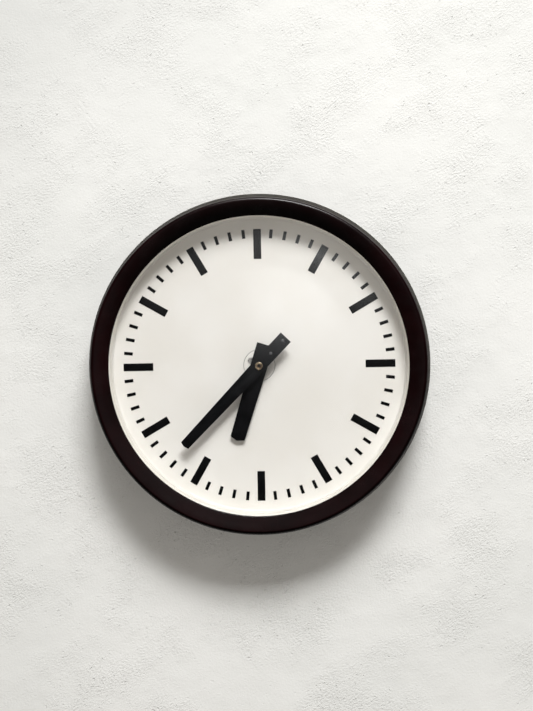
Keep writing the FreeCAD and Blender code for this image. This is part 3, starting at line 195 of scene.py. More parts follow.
# %% [markdown]
# Its colour also has painted shade: it greys towards the upper left, where the lamps light it less.
# The wall is pale plaster. It takes the clock's soft shadow, so it is a real plane, a hair behind the back.
# Its surface is sandy: a fine grain that the float left strong in some patches and smoothed away in others,
# hardly drawn out along the stroke, with small pits in it. All of it is height for a Bump node, in metres.
# The wall is one-sided: seen from behind, it lets everything through, so the clock's back shows as well.
# Where the case covers the wall, there is no plaster, so light gets in to the clock's back from behind.

# %% Wall
WALL_HALF = 4.0
WALL_GAP = 0.2 * MM
PLASTER_DARK = (0.775, 0.780, 0.755, 1)
PLASTER_LIGHT = (0.835, 0.835, 0.810, 1)
PLASTER_SHADE = (0.690, 0.695, 0.675, 1)
PLASTER_CONSTANTS = {"Roughness": 0.9, "Specular IOR Level": 0.2}
CLOUD_SCALE = 5
SHADED_CORNER = (-0.6, 0, 0.8)
SHADE_FROM = 0.22
SHADE_FULL = 0.44
STROKE_ANGLE = radians(-37)
STROKE_STRETCH = 1.5
PATCH_SCALE = 17
SMOOTHED = 0.22
GRAIN_SCALE = 580
GRAIN_HEIGHT = 1.5 * MM
PIT_SCALE = 300
PIT_DEPTH = 0.7 * MM
SWELL_SCALE = 20
SWELL_HEIGHT = 2.2 * MM
FLAT = 0.05 * MM
COVERED_MARGIN = 3.0 * MM
case_foot = max(hypot(vertex.co.x, vertex.co.z) for vertex in nodes["rear_case"].data.vertices
                if -vertex.co.y < FLAT)


def plaster_finish():
    finish, tree, shader = new_material("plaster", PLASTER_CONSTANTS)
    place = place_in(tree)
    cloud = band(tree, noise(tree, place, CLOUD_SCALE, 4.0, 0.55), 0.3, 0.7)
    plain = blend_colours(tree, cloud, PLASTER_DARK, PLASTER_LIGHT)
    # Painted shade: the plaster greys towards the upper left corner, where the lamps light the wall less.
    corner = put(tree, "ShaderNodeVectorMath", {0: place, 1: SHADED_CORNER}, operation="DOT_PRODUCT")
    painted_shade = band(tree, corner.outputs["Value"], SHADE_FROM, SHADE_FULL)
    tree.links.new(blend_colours(tree, painted_shade, plain, PLASTER_SHADE), shader.inputs["Base Color"])
    drawn_out = {"Vector": place, "Rotation": (0, STROKE_ANGLE, 0), "Scale": (STROKE_STRETCH, 1, 1)}
    stroke = put(tree, "ShaderNodeMapping", drawn_out, vector_type="TEXTURE").outputs[0]
    patches = band(tree, noise(tree, stroke, PATCH_SCALE, 3.0, 0.6), 0.38, 0.68, SMOOTHED, 1.0)
    grain = calc(tree, "MULTIPLY", noise(tree, stroke, GRAIN_SCALE, 2.0, 0.6), patches)
    pitted = band(tree, noise(tree, stroke, PIT_SCALE, 1.0, 0.5), 0.68, 0.76)
    pits = calc(tree, "MULTIPLY", pitted, patches)
    swell = calc(tree, "MULTIPLY", noise(tree, place, SWELL_SCALE, 2.0, 0.5), SWELL_HEIGHT)
    relief = calc(tree, "MULTIPLY_ADD", grain, GRAIN_HEIGHT, swell)
    height = calc(tree, "MULTIPLY_ADD", pits, -PIT_DEPTH, relief)
    bump = put(tree, "ShaderNodeBump", {"Strength": 1.0, "Distance": 1.0, "Height": height})
    tree.links.new(bump.outputs["Normal"], shader.inputs["Normal"])
    behind = put(tree, "ShaderNodeNewGeometry").outputs["Backfacing"]
    reach = put(tree, "ShaderNodeVectorMath", {0: place}, operation="LENGTH").outputs["Value"]
    covered = calc(tree, "LESS_THAN", reach, case_foot - COVERED_MARGIN)
    let_through(tree, calc(tree, "MAXIMUM", behind, covered), shader)
    return finish


def upright_sheet(name, half, y, finish):
    """Square sheet across Y that faces the viewer."""
    mesh = bpy.data.meshes.new(name)
    corners = [(-half, y, -half), (half, y, -half), (half, y, half), (-half, y, half)]
    mesh.from_pydata(corners, [], [(0, 1, 2, 3)])
    mesh.materials.append(finish)
    return add_object(name, mesh)


wall = upright_sheet("wall", WALL_HALF, WALL_GAP, plaster_finish())
print(f"wall normal {tuple(wall.data.polygons[0].normal)}, case foot {case_foot / MM:.1f} mm from the middle")

# %% [markdown]
# One broad lamp stands high in front, a little to the right, and a weaker one above it softens the far shadow.
# Their heights come from the shadow: its dark part ends where the lowest edge of the light comes into sight,
# and it fades out where the highest edge does. A lamp behind the wall lights the back for other views.

# %% Lamps
LAMP_SIDE = 0.36
LAMP_FRONT = 2.3
BEAM_AIM = Vector((0.12, 0, 0.05))
BEAM_SPREAD = radians(84)
LAMPS = (  # name, place, width, height, watts
    ("main_lamp", (LAMP_SIDE, -LAMP_FRONT, 1.78), 0.8, 0.58, 12.7),
    ("top_lamp", (LAMP_SIDE, -LAMP_FRONT, 2.55), 2.2, 0.57, 8.3),
    ("rear_lamp", (0.8, 2.6, 1.6), 1.5, 1.5, 14),
)
for name, place, width, height, watts in LAMPS:
    light = bpy.data.lights.new(name, "AREA")
    light.shape = "RECTANGLE"
    light.size = width
    light.size_y = height
    light.energy = watts
    light.spread = BEAM_SPREAD
    lamp = add_object(name, light)
    lamp.location = place
    lamp.rotation_euler = (BEAM_AIM - Vector(place)).to_track_quat("-Z", "Y").to_euler()
    print(f"{name}: {Vector(place).length:.2f} m away, {watts} W")

# %% [markdown]
# The world gives even light from all round. The camera, mirrors and glass see it as a pale background instead.
# A dark card stands far in front, as photographers use to keep glass clear. Only mirror rays see it:
# it is nearly black, with a soft glow high up and to the right, as a bright window in a dark room gives,
# and a smaller one near the middle, where the flat crown of the glass mirrors the place beside the camera.
# A straight look through the open glass passes it too.

# %% World and reflections
ROOM_LIGHT = 0.345
ROOM_TINT = (1.05, 1.0, 0.94)
PALE = (0.88, 0.88, 0.88, 1)
CARD_DISTANCE = 4.0
CARD_HALF = 20.0
CARD_SHADE = 0.005
GLOW_PLACE = (0.6, 1.05)
GLOW_REACH = 0.75
GLOW_PEAK = 1.35
GLOW_FOOT = -0.4
GLOW_FULL = 0.85
SPOT_PLACE = (0.07, 0.20)
SPOT_REACH = 0.24
SPOT_PEAK = 1.3


def light_world(world):
    world.use_nodes = True
    tree = world.node_tree
    path = put(tree, "ShaderNodeLightPath").outputs
    mirrored = calc(tree, "MAXIMUM", path["Is Glossy Ray"], path["Is Transmission Ray"])
    seen = calc(tree, "MAXIMUM", path["Is Camera Ray"], mirrored)
    shade = (*(ROOM_LIGHT * part for part in ROOM_TINT), 1)
    tree.links.new(blend_colours(tree, seen, shade, PALE), tree.nodes["Background"].inputs["Color"])


def dark_card():
    finish, tree, shader = new_material("dark_card", {})
    tree.nodes.remove(shader)
    place = put(tree, "ShaderNodeSeparateXYZ", {0: place_in(tree)}).outputs

    def squared_distance(middle):
        across = calc(tree, "SUBTRACT", place["X"], middle[0])
        upwards = calc(tree, "SUBTRACT", place["Z"], middle[1])
        return calc(tree, "MULTIPLY_ADD", across, across, calc(tree, "MULTIPLY", upwards, upwards))

    away = calc(tree, "SQRT", squared_distance(GLOW_PLACE))
    fade = calc(tree, "EXPONENT", calc(tree, "DIVIDE", away, -GLOW_REACH))
    rise = band(tree, place["Z"], GLOW_FOOT, GLOW_FULL, 0.0, GLOW_PEAK)
    spot = calc(tree, "EXPONENT", calc(tree, "DIVIDE", squared_distance(SPOT_PLACE), -SPOT_REACH ** 2))
    glow = calc(tree, "MULTIPLY_ADD", fade, rise, calc(tree, "MULTIPLY_ADD", spot, SPOT_PEAK, CARD_SHADE))
    grey = put(tree, "ShaderNodeCombineColor", {0: glow, 1: glow, 2: glow}).outputs[0]
    path = put(tree, "ShaderNodeLightPath").outputs
    unmirrored = calc(tree, "LESS_THAN", path["Glossy Depth"], 0.5)
    straight = calc(tree, "MULTIPLY", path["Is Transmission Ray"], unmirrored)
    let_through(tree, straight, put(tree, "ShaderNodeEmission", {"Color": grey}))
    card = upright_sheet("dark_card", CARD_HALF, -CARD_DISTANCE, finish)
    card.visible_camera = card.visible_diffuse = card.visible_shadow = False


bpy.context.scene.world = bpy.data.worlds.new("room")
light_world(bpy.context.scene.world)
dark_card()
bpy.context.scene.view_settings.view_transform = "Standard"
print(f"room light {ROOM_LIGHT}, dark card {CARD_DISTANCE} m in front")

# %% [markdown]
# Several finishes share the same small effects: two tones that drift into each other, a gloss that handling
# has dulled in places, a fine grain, and dust that settles where a surface faces up.
# Each is a node group with named inputs, made once and placed in each material with its own values.

# %% Shared effects
NUMBER = "NodeSocketFloat"
COLOUR = "NodeSocketColor"
DUST = (0.35, 0.33, 0.3, 1)
DUST_SCALE = 700
HAIR_SCALE = 40
HAIR_SHARE = 0.25


def new_group(name, inputs, output, kind="ShaderNodeTree"):
    """Empty node group with named sockets. Returns the tree, its inputs and its output's socket."""
    tree = bpy.data.node_groups.new(name, kind)
    for label, socket_type in inputs:
        tree.interface.new_socket(name=label, in_out="INPUT", socket_type=socket_type)
    tree.interface.new_socket(name=output[0], in_out="OUTPUT", socket_type=output[1])
    given = tree.nodes.new("NodeGroupInput").outputs
    return tree, given, tree.nodes.new("NodeGroupOutput").inputs[0]


def two_tones():
    inputs = [("Dark", COLOUR), ("Light", COLOUR), ("Scale", NUMBER)]
    tree, given, result = new_group("two_tones", inputs, ("Colour", COLOUR))
    share = band(tree, noise(tree, place_in(tree), given["Scale"], 5.0, 0.6), 0.32, 0.68)
    tree.links.new(blend_colours(tree, share, given["Dark"], given["Light"]), result)
    return tree


def handled_gloss():
    inputs = [("Smooth", NUMBER), ("Dull", NUMBER), ("Scale", NUMBER)]
    tree, given, result = new_group("handled_gloss", inputs, ("Roughness", NUMBER))
    place = place_in(tree)
    patches = band(tree, noise(tree, place, given["Scale"], 4.0, 0.6), 0.35, 0.7)
    hair_scale = calc(tree, "MULTIPLY", given["Scale"], HAIR_SCALE)
    hairs = band(tree, noise(tree, place, hair_scale, 2.0, 0.7), 0.55, 0.75)
    worn = calc(tree, "ADD", calc(tree, "MULTIPLY", patches, 1 - HAIR_SHARE),
                calc(tree, "MULTIPLY", hairs, HAIR_SHARE))
    spread = calc(tree, "SUBTRACT", given["Dull"], given["Smooth"])
    tree.links.new(calc(tree, "MULTIPLY_ADD", worn, spread, given["Smooth"]), result)
    return tree


def fine_grain():
    tree, given, result = new_group("fine_grain", [("Scale", NUMBER)], ("Height", NUMBER))
    tree.links.new(noise(tree, place_in(tree), given["Scale"], 3.0, 0.6), result)
    return tree


def settled_dust():
    inputs = [("Colour", COLOUR), ("Amount", NUMBER)]
    tree, given, result = new_group("settled_dust", inputs, ("Colour", COLOUR))
    normal = put(tree, "ShaderNodeNewGeometry").outputs["Normal"]
    upward = band(tree, put(tree, "ShaderNodeSeparateXYZ", {0: normal}).outputs["Z"], 0.3, 0.95)
    specks = band(tree, noise(tree, place_in(tree), DUST_SCALE, 4.0, 0.7), 0.45, 0.75)
    share = calc(tree, "MULTIPLY", calc(tree, "MULTIPLY", upward, specks), given["Amount"])
    tree.links.new(blend_colours(tree, share, given["Colour"], DUST), result)
    return tree


EFFECTS = {tree.name: tree for tree in (two_tones(), handled_gloss(), fine_grain(), settled_dust())}
print("shared effects:", ", ".join(EFFECTS))

# %% [markdown]
# Most finishes are one shape of recipe: two close tones, a gloss range, a grain and the plain numbers of the
# surface itself, such as metal or not. So one function builds them from the rows of a table.
# A finish has the name of the material slot that it is for. The others are for single pieces.

# %% Finishes
BAKELITE_DARK = (0.0042, 0.0008, 0.0009)
BAKELITE_LIGHT = (0.0082, 0.0015, 0.0018)
DUSTY = {"bakelite": 0.25, "bezel_bakelite": 0.12}
METAL = {"Metallic": 1.0}
FINISH_TABLE = {  # dark and light tone and their scale, smooth and dull gloss and their scale,
    # the grain's scale and its height in millimetres, then the shader's own constants
    "bakelite": (BAKELITE_DARK, BAKELITE_LIGHT, 28, 0.16, 0.3, 45, 1500, 0.004, {"IOR": 1.6}),
    "bezel_bakelite": (BAKELITE_DARK, BAKELITE_LIGHT, 28, 0.18, 0.32, 45, 1500, 0.004,
                       {"IOR": 1.45, "Specular IOR Level": 0.22, "Coat Roughness": 0.2}),
    "dial_white": ((0.788, 0.763, 0.716), (0.84, 0.82, 0.783), 14, 0.3, 0.42, 20, 700, 0.004, {}),
    "ring_white": ((0.85, 0.815, 0.74), (0.91, 0.88, 0.815), 30, 0.35, 0.5, 40, 900, 0.006, {}),
    "dial_print": ((0.0022, 0.0022, 0.0024), (0.0038, 0.0038, 0.0041), 120, 0.45, 0.6, 90, 1800, 0.006,
                   {"Specular IOR Level": 0.03}),
    "hand_black": ((0.0028, 0.0028, 0.0032), (0.0052, 0.0052, 0.006), 90, 0.35, 0.55, 70, 1600, 0.006,
                   {"Specular IOR Level": 0.05}),
    # The rivet heads are black paint, lightened to grey as a painted glint of the lamps on them.
    "rivet_grey_glint": ((0.035, 0.035, 0.037), (0.065, 0.065, 0.068), 200, 0.3, 0.42, 160, 2500, 0.004, {}),
    "steel": ((0.46, 0.45, 0.43), (0.6, 0.59, 0.57), 160, 0.25, 0.42, 150, 2500, 0.006, METAL),
    # Near-black steel, which also stands for the shade in the nut's hole and in the gap round the hub plate.
    "dark_steel_shade": ((0.018, 0.016, 0.016), (0.034, 0.029, 0.026), 220, 0.35, 0.5, 180, 2500, 0.006,
                    {"Metallic": 0.6}),
    "bronze": ((0.4, 0.3, 0.2), (0.56, 0.46, 0.33), 200, 0.22, 0.36, 200, 2500, 0.006, METAL),
    "brass": ((0.55, 0.39, 0.15), (0.68, 0.5, 0.22), 120, 0.25, 0.42, 120, 2500, 0.006, METAL),
    "soft_iron": ((0.2, 0.19, 0.185), (0.3, 0.285, 0.275), 140, 0.4, 0.6, 120, 2200, 0.01, METAL),
    "copper_wire": ((0.42, 0.13, 0.06), (0.58, 0.22, 0.1), 300, 0.25, 0.4, 200, 2600, 0.01, METAL),
    "bobbin_plastic": ((0.055, 0.018, 0.012), (0.085, 0.028, 0.018), 90, 0.35, 0.5, 80, 1500, 0.008,
                       {"IOR": 1.55}),
    "black_rubber": ((0.01, 0.01, 0.01), (0.018, 0.018, 0.018), 120, 0.6, 0.8, 100, 1800, 0.015, {}),
}


def effect(tree, name, inputs):
    """Place a shared effect in a material and return its only output."""
    return put(tree, "ShaderNodeGroup", inputs, node_tree=EFFECTS[name]).outputs[0]


def new_finish(name, dark, light, tone_scale, smooth, dull, gloss_scale, grain_scale, grain_height, constants):
    """Finish from a row of the table."""
    finish, tree, shader = new_material(name + "_finish", constants)
    colour = effect(tree, "two_tones", {"Dark": (*dark, 1), "Light": (*light, 1), "Scale": tone_scale})
    if name in DUSTY:
        colour = effect(tree, "settled_dust", {"Colour": colour, "Amount": DUSTY[name]})
    tree.links.new(colour, shader.inputs["Base Color"])
    gloss = effect(tree, "handled_gloss", {"Smooth": smooth, "Dull": dull, "Scale": gloss_scale})
    tree.links.new(gloss, shader.inputs["Roughness"])
    height = effect(tree, "fine_grain", {"Scale": grain_scale})
    bump = put(tree, "ShaderNodeBump", {"Strength": 1.0, "Distance": grain_height * MM, "Height": height})
    tree.links.new(bump.outputs["Normal"], shader.inputs["Normal"])
    return finish


finishes = {name: new_finish(name, *row) for name, row in FINISH_TABLE.items()}
print("finishes made:", ", ".join(finishes))

# %% [markdown]
# The bezel's look changes with which way its surface leans. Its sides, which nobody wipes, have faded and
# gone dull. The front is burgundy, with painted shade where the face leans down, away from the lamps: there it
# is nearly black. Hands have polished the upper front edge, and a coat on the shader gives it that sheen.

# %% Wear and painted shade on the bezel
# Painted shade: the colour that the face takes where it leans down, away from the lamps.
FACE_PAINTED_SHADE = (0.0013, 0.0009, 0.0008, 1)
SIDE_TONES = {"Dark": (0.0165, 0.0135, 0.0095, 1), "Light": (0.030, 0.025, 0.018, 1), "Scale": 70.0}
SIDE_ROUGHNESS = 0.75
EDGE_POLISH = 0.75
# Parts of the surface normal where a lean starts to count and where it counts in full.
TOWARDS_FRONT = (-0.25, -0.5)
LEAN_INTO_SHADE = (-0.165, 0.0)
TOWARDS_SKY = (0.2, 0.7)


def wear_and_shade_bezel(tree):
    shader = tree.nodes["Principled BSDF"]
    burgundy = shader.inputs["Base Color"].links[0].from_socket
    gloss = shader.inputs["Roughness"].links[0].from_socket
    normal = put(tree, "ShaderNodeTexCoord").outputs["Normal"]
    facing = put(tree, "ShaderNodeSeparateXYZ", {0: normal}).outputs
    front = band(tree, facing["Y"], *TOWARDS_FRONT)
    # Painted shade: where the face leans down, away from the lamps, its colour goes nearly black.
    face = blend_colours(tree, band(tree, facing["Z"], *LEAN_INTO_SHADE), FACE_PAINTED_SHADE, burgundy)
    faded = effect(tree, "two_tones", SIDE_TONES)
    tree.links.new(blend_colours(tree, front, faded, face), shader.inputs["Base Color"])
    roughness = put(tree, "ShaderNodeMix", {0: front, 2: SIDE_ROUGHNESS, 3: gloss}).outputs[0]
    tree.links.new(roughness, shader.inputs["Roughness"])
    upper = band(tree, facing["Z"], *TOWARDS_SKY, 0.0, EDGE_POLISH)
    tree.links.new(calc(tree, "MULTIPLY", front, upper), shader.inputs["Coat Weight"])


wear_and_shade_bezel(finishes["bezel_bakelite"].node_tree)
print("roughness of the bezel's sides:", SIDE_ROUGHNESS)

# %% [markdown]
# Clear glass bends and mirrors light, but a renderer finds it hard to send lamp light through it.
# So shadow rays and soft bounce rays pass straight through, and only the view itself meets the real glass.

# %% Glass finish
GLASS_CONSTANTS = {"Base Color": (0.985, 0.99, 0.985, 1), "Transmission Weight": 1.0, "IOR": 1.5,
                   "Roughness": 0.0}


def clear_glass_finish():
    finish, tree, shader = new_material("clear_glass_finish", GLASS_CONSTANTS)
    path = put(tree, "ShaderNodeLightPath").outputs
    let_through(tree, calc(tree, "MAXIMUM", path["Is Shadow Ray"], path["Is Diffuse Ray"]), shader)
    return finish


finishes["clear_glass"] = clear_glass_finish()
print("glass finish made, refractive index", GLASS_CONSTANTS["IOR"])

# %% [markdown]
# Every CAD node first gets the finish of its material slot. Inner pieces keep their CAD mesh with it.
# The pieces that show are then remade below with soft edges, and each one hides the node it stands for.

# %% Finishes on the frame
# Painted shade: the minute arbor, deep in the nut's hole, and the hub ring under the hub plate's gap get
# near-black steel, so that hole and gap read dark.
NODE_FINISH = {"minute_arbor": "dark_steel_shade", "dial_hub_ring": "dark_steel_shade", "counterweight": "hand_black"}
for entry in frame["record"]["subparts"]:
    node_mesh = nodes[entry["node"]].data
    node_mesh.materials.clear()
    node_mesh.materials.append(finishes[NODE_FINISH.get(entry["node"], entry["material_slot"])])
print("nodes with a finish:", len(nodes))

# %% [markdown]
# Bezel, glass, rings and dial are turned pieces: one outline spun about the hands' axis.
# Blender's Screw modifier could spin them. Here the rings of points are laid out directly,
# because then each corner's rounding is an exact arc and the seam is already closed.

# %% Turned pieces
ARC_STEPS = 7
RING_STEPS = 288
SMALL_STEPS = 72
SHARP = radians(32)
WELD = 0.001 * MM


def rounded(corners):
    """Closed outline of (radius, depth) points. A corner with a third value is rounded by that radius."""
    outline = []
    for index, corner in enumerate(corners):
        point = Vector(corner[:2])
        if len(corner) == 2:
            outline.append(point)
            continue
        back = (Vector(corners[index - 1][:2]) - point).normalized()
        ahead = (Vector(corners[(index + 1) % len(corners)][:2]) - point).normalized()
        half = back.angle(ahead) / 2
        middle = point + (back + ahead).normalized() * corner[2] / sin(half)
        start = point + back * corner[2] / tan(half) - middle
        turn = start.angle_signed(point + ahead * corner[2] / tan(half) - middle)
        for step in range(ARC_STEPS + 1):
            angle = -turn * step / ARC_STEPS
            outline.append(middle + Matrix.Rotation(angle, 2) @ start)
    area = sum(a.x * b.y - b.x * a.y for a, b in zip(outline, outline[1:] + outline[:1]))
    return outline if area > 0 else outline[::-1]


def welded(mesh):
    """Working copy of a mesh with its doubled points made one."""
    work = bmesh.new()
    work.from_mesh(mesh)
    bmesh.ops.remove_doubles(work, verts=work.verts, dist=WELD)
    return work


def written(work, mesh):
    """Mesh that a working copy has been written to. The copy is freed."""
    work.to_mesh(mesh)
    work.free()
    return mesh


def turned(name, corners, middle=(0, 0), steps=RING_STEPS):
    """Mesh of an outline spun about an axis along Y through a middle in x and z."""
    outline = rounded(corners)
    points = []
    for step in range(steps):
        angle = 2 * pi * step / steps
        points += [(middle[0] + point.x * sin(angle), -point.y, middle[1] + point.x * cos(angle))
                   for point in outline]
    count = len(outline)
    faces = []
    for step in range(steps):
        here = step * count
        there = (step + 1) % steps * count
        for index in range(count):
            after = (index + 1) % count
            faces.append((here + index, here + after, there + after, there + index))
    mesh = bpy.data.meshes.new(name)
    mesh.from_pydata(points, [], faces)
    work = welded(mesh)
    bmesh.ops.dissolve_degenerate(work, edges=work.edges, dist=WELD / 2)
    return written(work, mesh)


def add_piece(name, mesh, body, slot, *replaced, finish=None):
    """Put a mesh in the scene on its body, in place of the CAD nodes that it stands for.
    Without a finish of its own it gets the one of its slot."""
    piece = add_object(name, mesh)
    if not mesh.materials:
        mesh.materials.append(finishes[finish or slot])
    mesh.shade_smooth()
    mesh.set_sharp_from_angle(angle=SHARP)
    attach(piece, body)
    if replaced:
        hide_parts(*replaced)
    print(f"{name}: {len(mesh.polygons)} faces on {body}")


# %% [markdown]
# The bezel is a heavy moulding of dark bakelite: a face that falls a little towards the glass, a slanting
# skirt round the case and a rib inside that holds the glass. A lathe of its section gives all three at once.
# Two pads inside the skirt carry the hinge and the catch: blocks whose outer face follows the wall,
# bevelled as a mould leaves them.

# %% Bezel
FACE_FALL = 2.5 * MM
FRONT_ROUND = 3.5 * MM
SKIRT_WALL = 5.0 * MM
SKIRT_DRAFT = 5.7 * MM
SKIRT_HEIGHT = 38.0 * MM
BEZEL_EDGE = 0.6 * MM
CLEARANCE = 0.5 * MM
gasket_inner, gasket_edge, glass_front, seat = span("glass_gasket")
ring_inner, ring_edge, ring_back, _ = span("rehaut_ring")
face = skirt_back + SKIRT_HEIGHT
rib = ring_edge + CLEARANCE
rebate = glass_edge + CLEARANCE
skirt_slope = SKIRT_DRAFT / SKIRT_HEIGHT
inside = rim - SKIRT_WALL
bezel = turned("bezel", (
    (opening, face - FACE_FALL, BEZEL_EDGE),
    (rim - SKIRT_DRAFT, face, FRONT_ROUND),
    (rim, skirt_back, BEZEL_EDGE),
    (inside, skirt_back, BEZEL_EDGE),
    (inside - (seat - skirt_back) * skirt_slope, seat),
    (rib, seat),
    (rib, glass_back, BEZEL_EDGE / 2),
    (rebate, glass_back, BEZEL_EDGE / 2),
    (rebate, seat),
    (opening, seat, BEZEL_EDGE / 2),
))
add_piece("bezel", bezel, "bezel", "bakelite", "bezel_ring", finish="bezel_bakelite")

# %% Pads for the hinge and the catch
PAD_EDGE = 0.8 * MM
PAD_STEPS = 3
ROUND = 0.5
PAD_INSET = 2.0 * MM
PAD_OVERHANG = 1.0 * MM
pad_back = skirt_back + PAD_INSET
pad_front = span("catch_tongue")[3] + PAD_OVERHANG
leaf_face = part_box("catch_tongue")[1][0]


def mid_wall(depth):
    """Distance of the middle of the skirt's wall from the hands' axis."""
    return inside + SKIRT_WALL / 2 - (depth - skirt_back) * skirt_slope


def wall_pads(pads):
    """Bevelled blocks from the skirt's wall inwards. Each pad is a side, -1 or 1, and half its height."""
    section = ((leaf_face, pad_back), (leaf_face, pad_front), (mid_wall(pad_front), pad_front),
               (mid_wall(pad_back), pad_back))
    work = bmesh.new()
    for side, half in pads:
        lower = [work.verts.new((side * x, -depth, -half)) for x, depth in section]
        upper = [work.verts.new((side * x, -depth, half)) for x, depth in section]
        work.faces.new(lower)
        work.faces.new(upper[::-1])
        for index, corner in enumerate(lower):
            after = (index + 1) % len(lower)
            work.faces.new((lower[after], corner, upper[index], upper[after]))
    bmesh.ops.recalc_face_normals(work, faces=work.faces)
    bmesh.ops.bevel(work, geom=work.edges, offset=PAD_EDGE, segments=PAD_STEPS, affect="EDGES", profile=ROUND)
    return written(work, bpy.data.meshes.new("bezel_pads"))


hinge_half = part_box("hinge_leaf_bezel")[1][2]
catch_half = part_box("catch_tongue")[1][2]
add_piece("bezel_pads", wall_pads(((-1, hinge_half), (1, catch_half))), "bezel", "bakelite")

# %% [markdown]
# The glass is a shallow dome: flat and forward in the middle, curving back to a thin flat rim that lies in
# the bezel's rebate on a rubber ring. A dome from a sphere would be too round at the edge, so the outline has
# a straight crown and a long arc. Inner and outer faces are both there, because thick glass bends the view.

# %% Glass and its seat
CROWN_INSET = 32.9 * MM
CROWN_ROUND = 268.0 * MM
SOFT_EDGE = 0.3 * MM
crown_corner = glass_edge - CROWN_INSET
glass_thickness = glass_front - glass_back
dome = turned("dome_glass", (
    (0, glass_crown - glass_thickness),
    (crown_corner, glass_crown - glass_thickness, CROWN_ROUND - glass_thickness),
    (gasket_inner, glass_back),
    (glass_edge, glass_back, SOFT_EDGE),
    (glass_edge, glass_front, SOFT_EDGE),
    (gasket_inner, glass_front),
    (crown_corner, glass_crown, CROWN_ROUND),
    (0, glass_crown),
))
add_piece("dome_glass", dome, "bezel", "clear_glass", "glass")
gasket = turned("seat_gasket", (
    (gasket_inner, glass_front, SOFT_EDGE),
    (gasket_edge, glass_front, SOFT_EDGE),
    (gasket_edge, seat, SOFT_EDGE),
    (gasket_inner, seat, SOFT_EDGE),
))
add_piece("seat_gasket", gasket, "bezel", "black_rubber", "glass_gasket")

# %% [markdown]
# A white ring of sheet metal stands between glass and dial and hides the gap. Its wall is nearly straight,
# and a flange in front is screwed to the bezel. The dial is an enamelled plate with a small upturned edge,
# which makes the soft line beside the ring. Both are thin shells with real thickness, so they look right
# from behind as well when the bezel is open.

# %% White ring and dial
SHEET = 1.0 * MM
RING_OVERLAP = 0.4 * MM
RING_BEND = 1.0 * MM
ring_front = opening - RING_OVERLAP
white_ring = turned("white_ring", (
    (ring_inner, ring_back, SOFT_EDGE),
    (ring_inner + SHEET, ring_back, SOFT_EDGE),
    (ring_front + SHEET, glass_back - SHEET, RING_BEND / 2),
    (ring_edge, glass_back - SHEET),
    (ring_edge, glass_back),
    (ring_front, glass_back, RING_BEND),
))
add_piece("white_ring", white_ring, "bezel", "dial_white", "rehaut_ring", finish="ring_white")

COVE_RUN = 0.8 * MM
COVE_ROUND = 1.5 * MM
FINE_EDGE = 0.2 * MM
dial_sheet = dial_front - dial_back
cove = dial_edge - dial_sheet
dial = turned("dial", (
    (dial_hole, dial_back),
    (cove - COVE_RUN + dial_sheet, dial_back, COVE_ROUND + dial_sheet),
    (dial_edge, cove_front, FINE_EDGE),
    (cove, cove_front, FINE_EDGE),
    (cove - COVE_RUN, dial_front, COVE_ROUND),
    (dial_hole, dial_front),
))
add_piece("dial", dial, "case", "dial_white", "dial_plate")

# %% [markdown]
# The bars are printed on the dial as a thin layer of black. They repeat around the circle, so a small
# geometry node tree lays them out: one block, turned to each place, with every fifth minute left out.
# A light bevel after it softens the edge of the ink. The bars are a few tenths of a millimetre wider than
# the CAD bars, as they measure in the picture.

# %% Geometry node helpers
WHOLE = "NodeSocketInt"
VECTOR = "NodeSocketVector"
FINISH = "NodeSocketMaterial"
SHAPE = ("Geometry", "NodeSocketGeometry")
GEOMETRY = "GeometryNodeTree"
BEVEL_STEPS = 2


def close_recipe(tree, instances, finish, result):
    """End a tree with real geometry and its finish."""
    real = put(tree, "GeometryNodeRealizeInstances", {"Geometry": instances}).outputs[0]
    done = put(tree, "GeometryNodeSetMaterial", {"Geometry": real, "Material": finish}).outputs[0]
    tree.links.new(done, result)


def vector(tree, x=0.0, y=0.0, z=0.0):
    """Vector of plain values or outputs."""
    return put(tree, "ShaderNodeCombineXYZ", {0: x, 1: y, 2: z}).outputs[0]


def moved(tree, mesh, offset):
    """Mesh moved by a vector."""
    return put(tree, "GeometryNodeTransform", {"Geometry": mesh, "Translation": offset}).outputs[0]


def taken(name, holder):
    """Plain mesh of what an object shows. The object is removed."""
    shown = holder.evaluated_get(bpy.context.evaluated_depsgraph_get())
    mesh = bpy.data.meshes.new_from_object(shown)
    mesh.name = name
    bpy.data.objects.remove(holder)
    return mesh


def grow(name, tree, points, values, bevel=0.0):
    """Run a tree on some points and return the result as a plain mesh."""
    seeds = bpy.data.meshes.new(name)
    seeds.from_pydata(points, [], [])
    holder = add_object(name + "_holder", seeds)
    modifier = holder.modifiers.new("recipe", "NODES")
    modifier.node_group = tree
    for socket in tree.interface.items_tree:
        if socket.in_out == "INPUT" and socket.name in values:
            modifier[socket.identifier] = values[socket.name]
    if bevel:
        soften = holder.modifiers.new("soften", "BEVEL")
        soften.width = bevel
        soften.segments = BEVEL_STEPS
    return taken(name, holder)


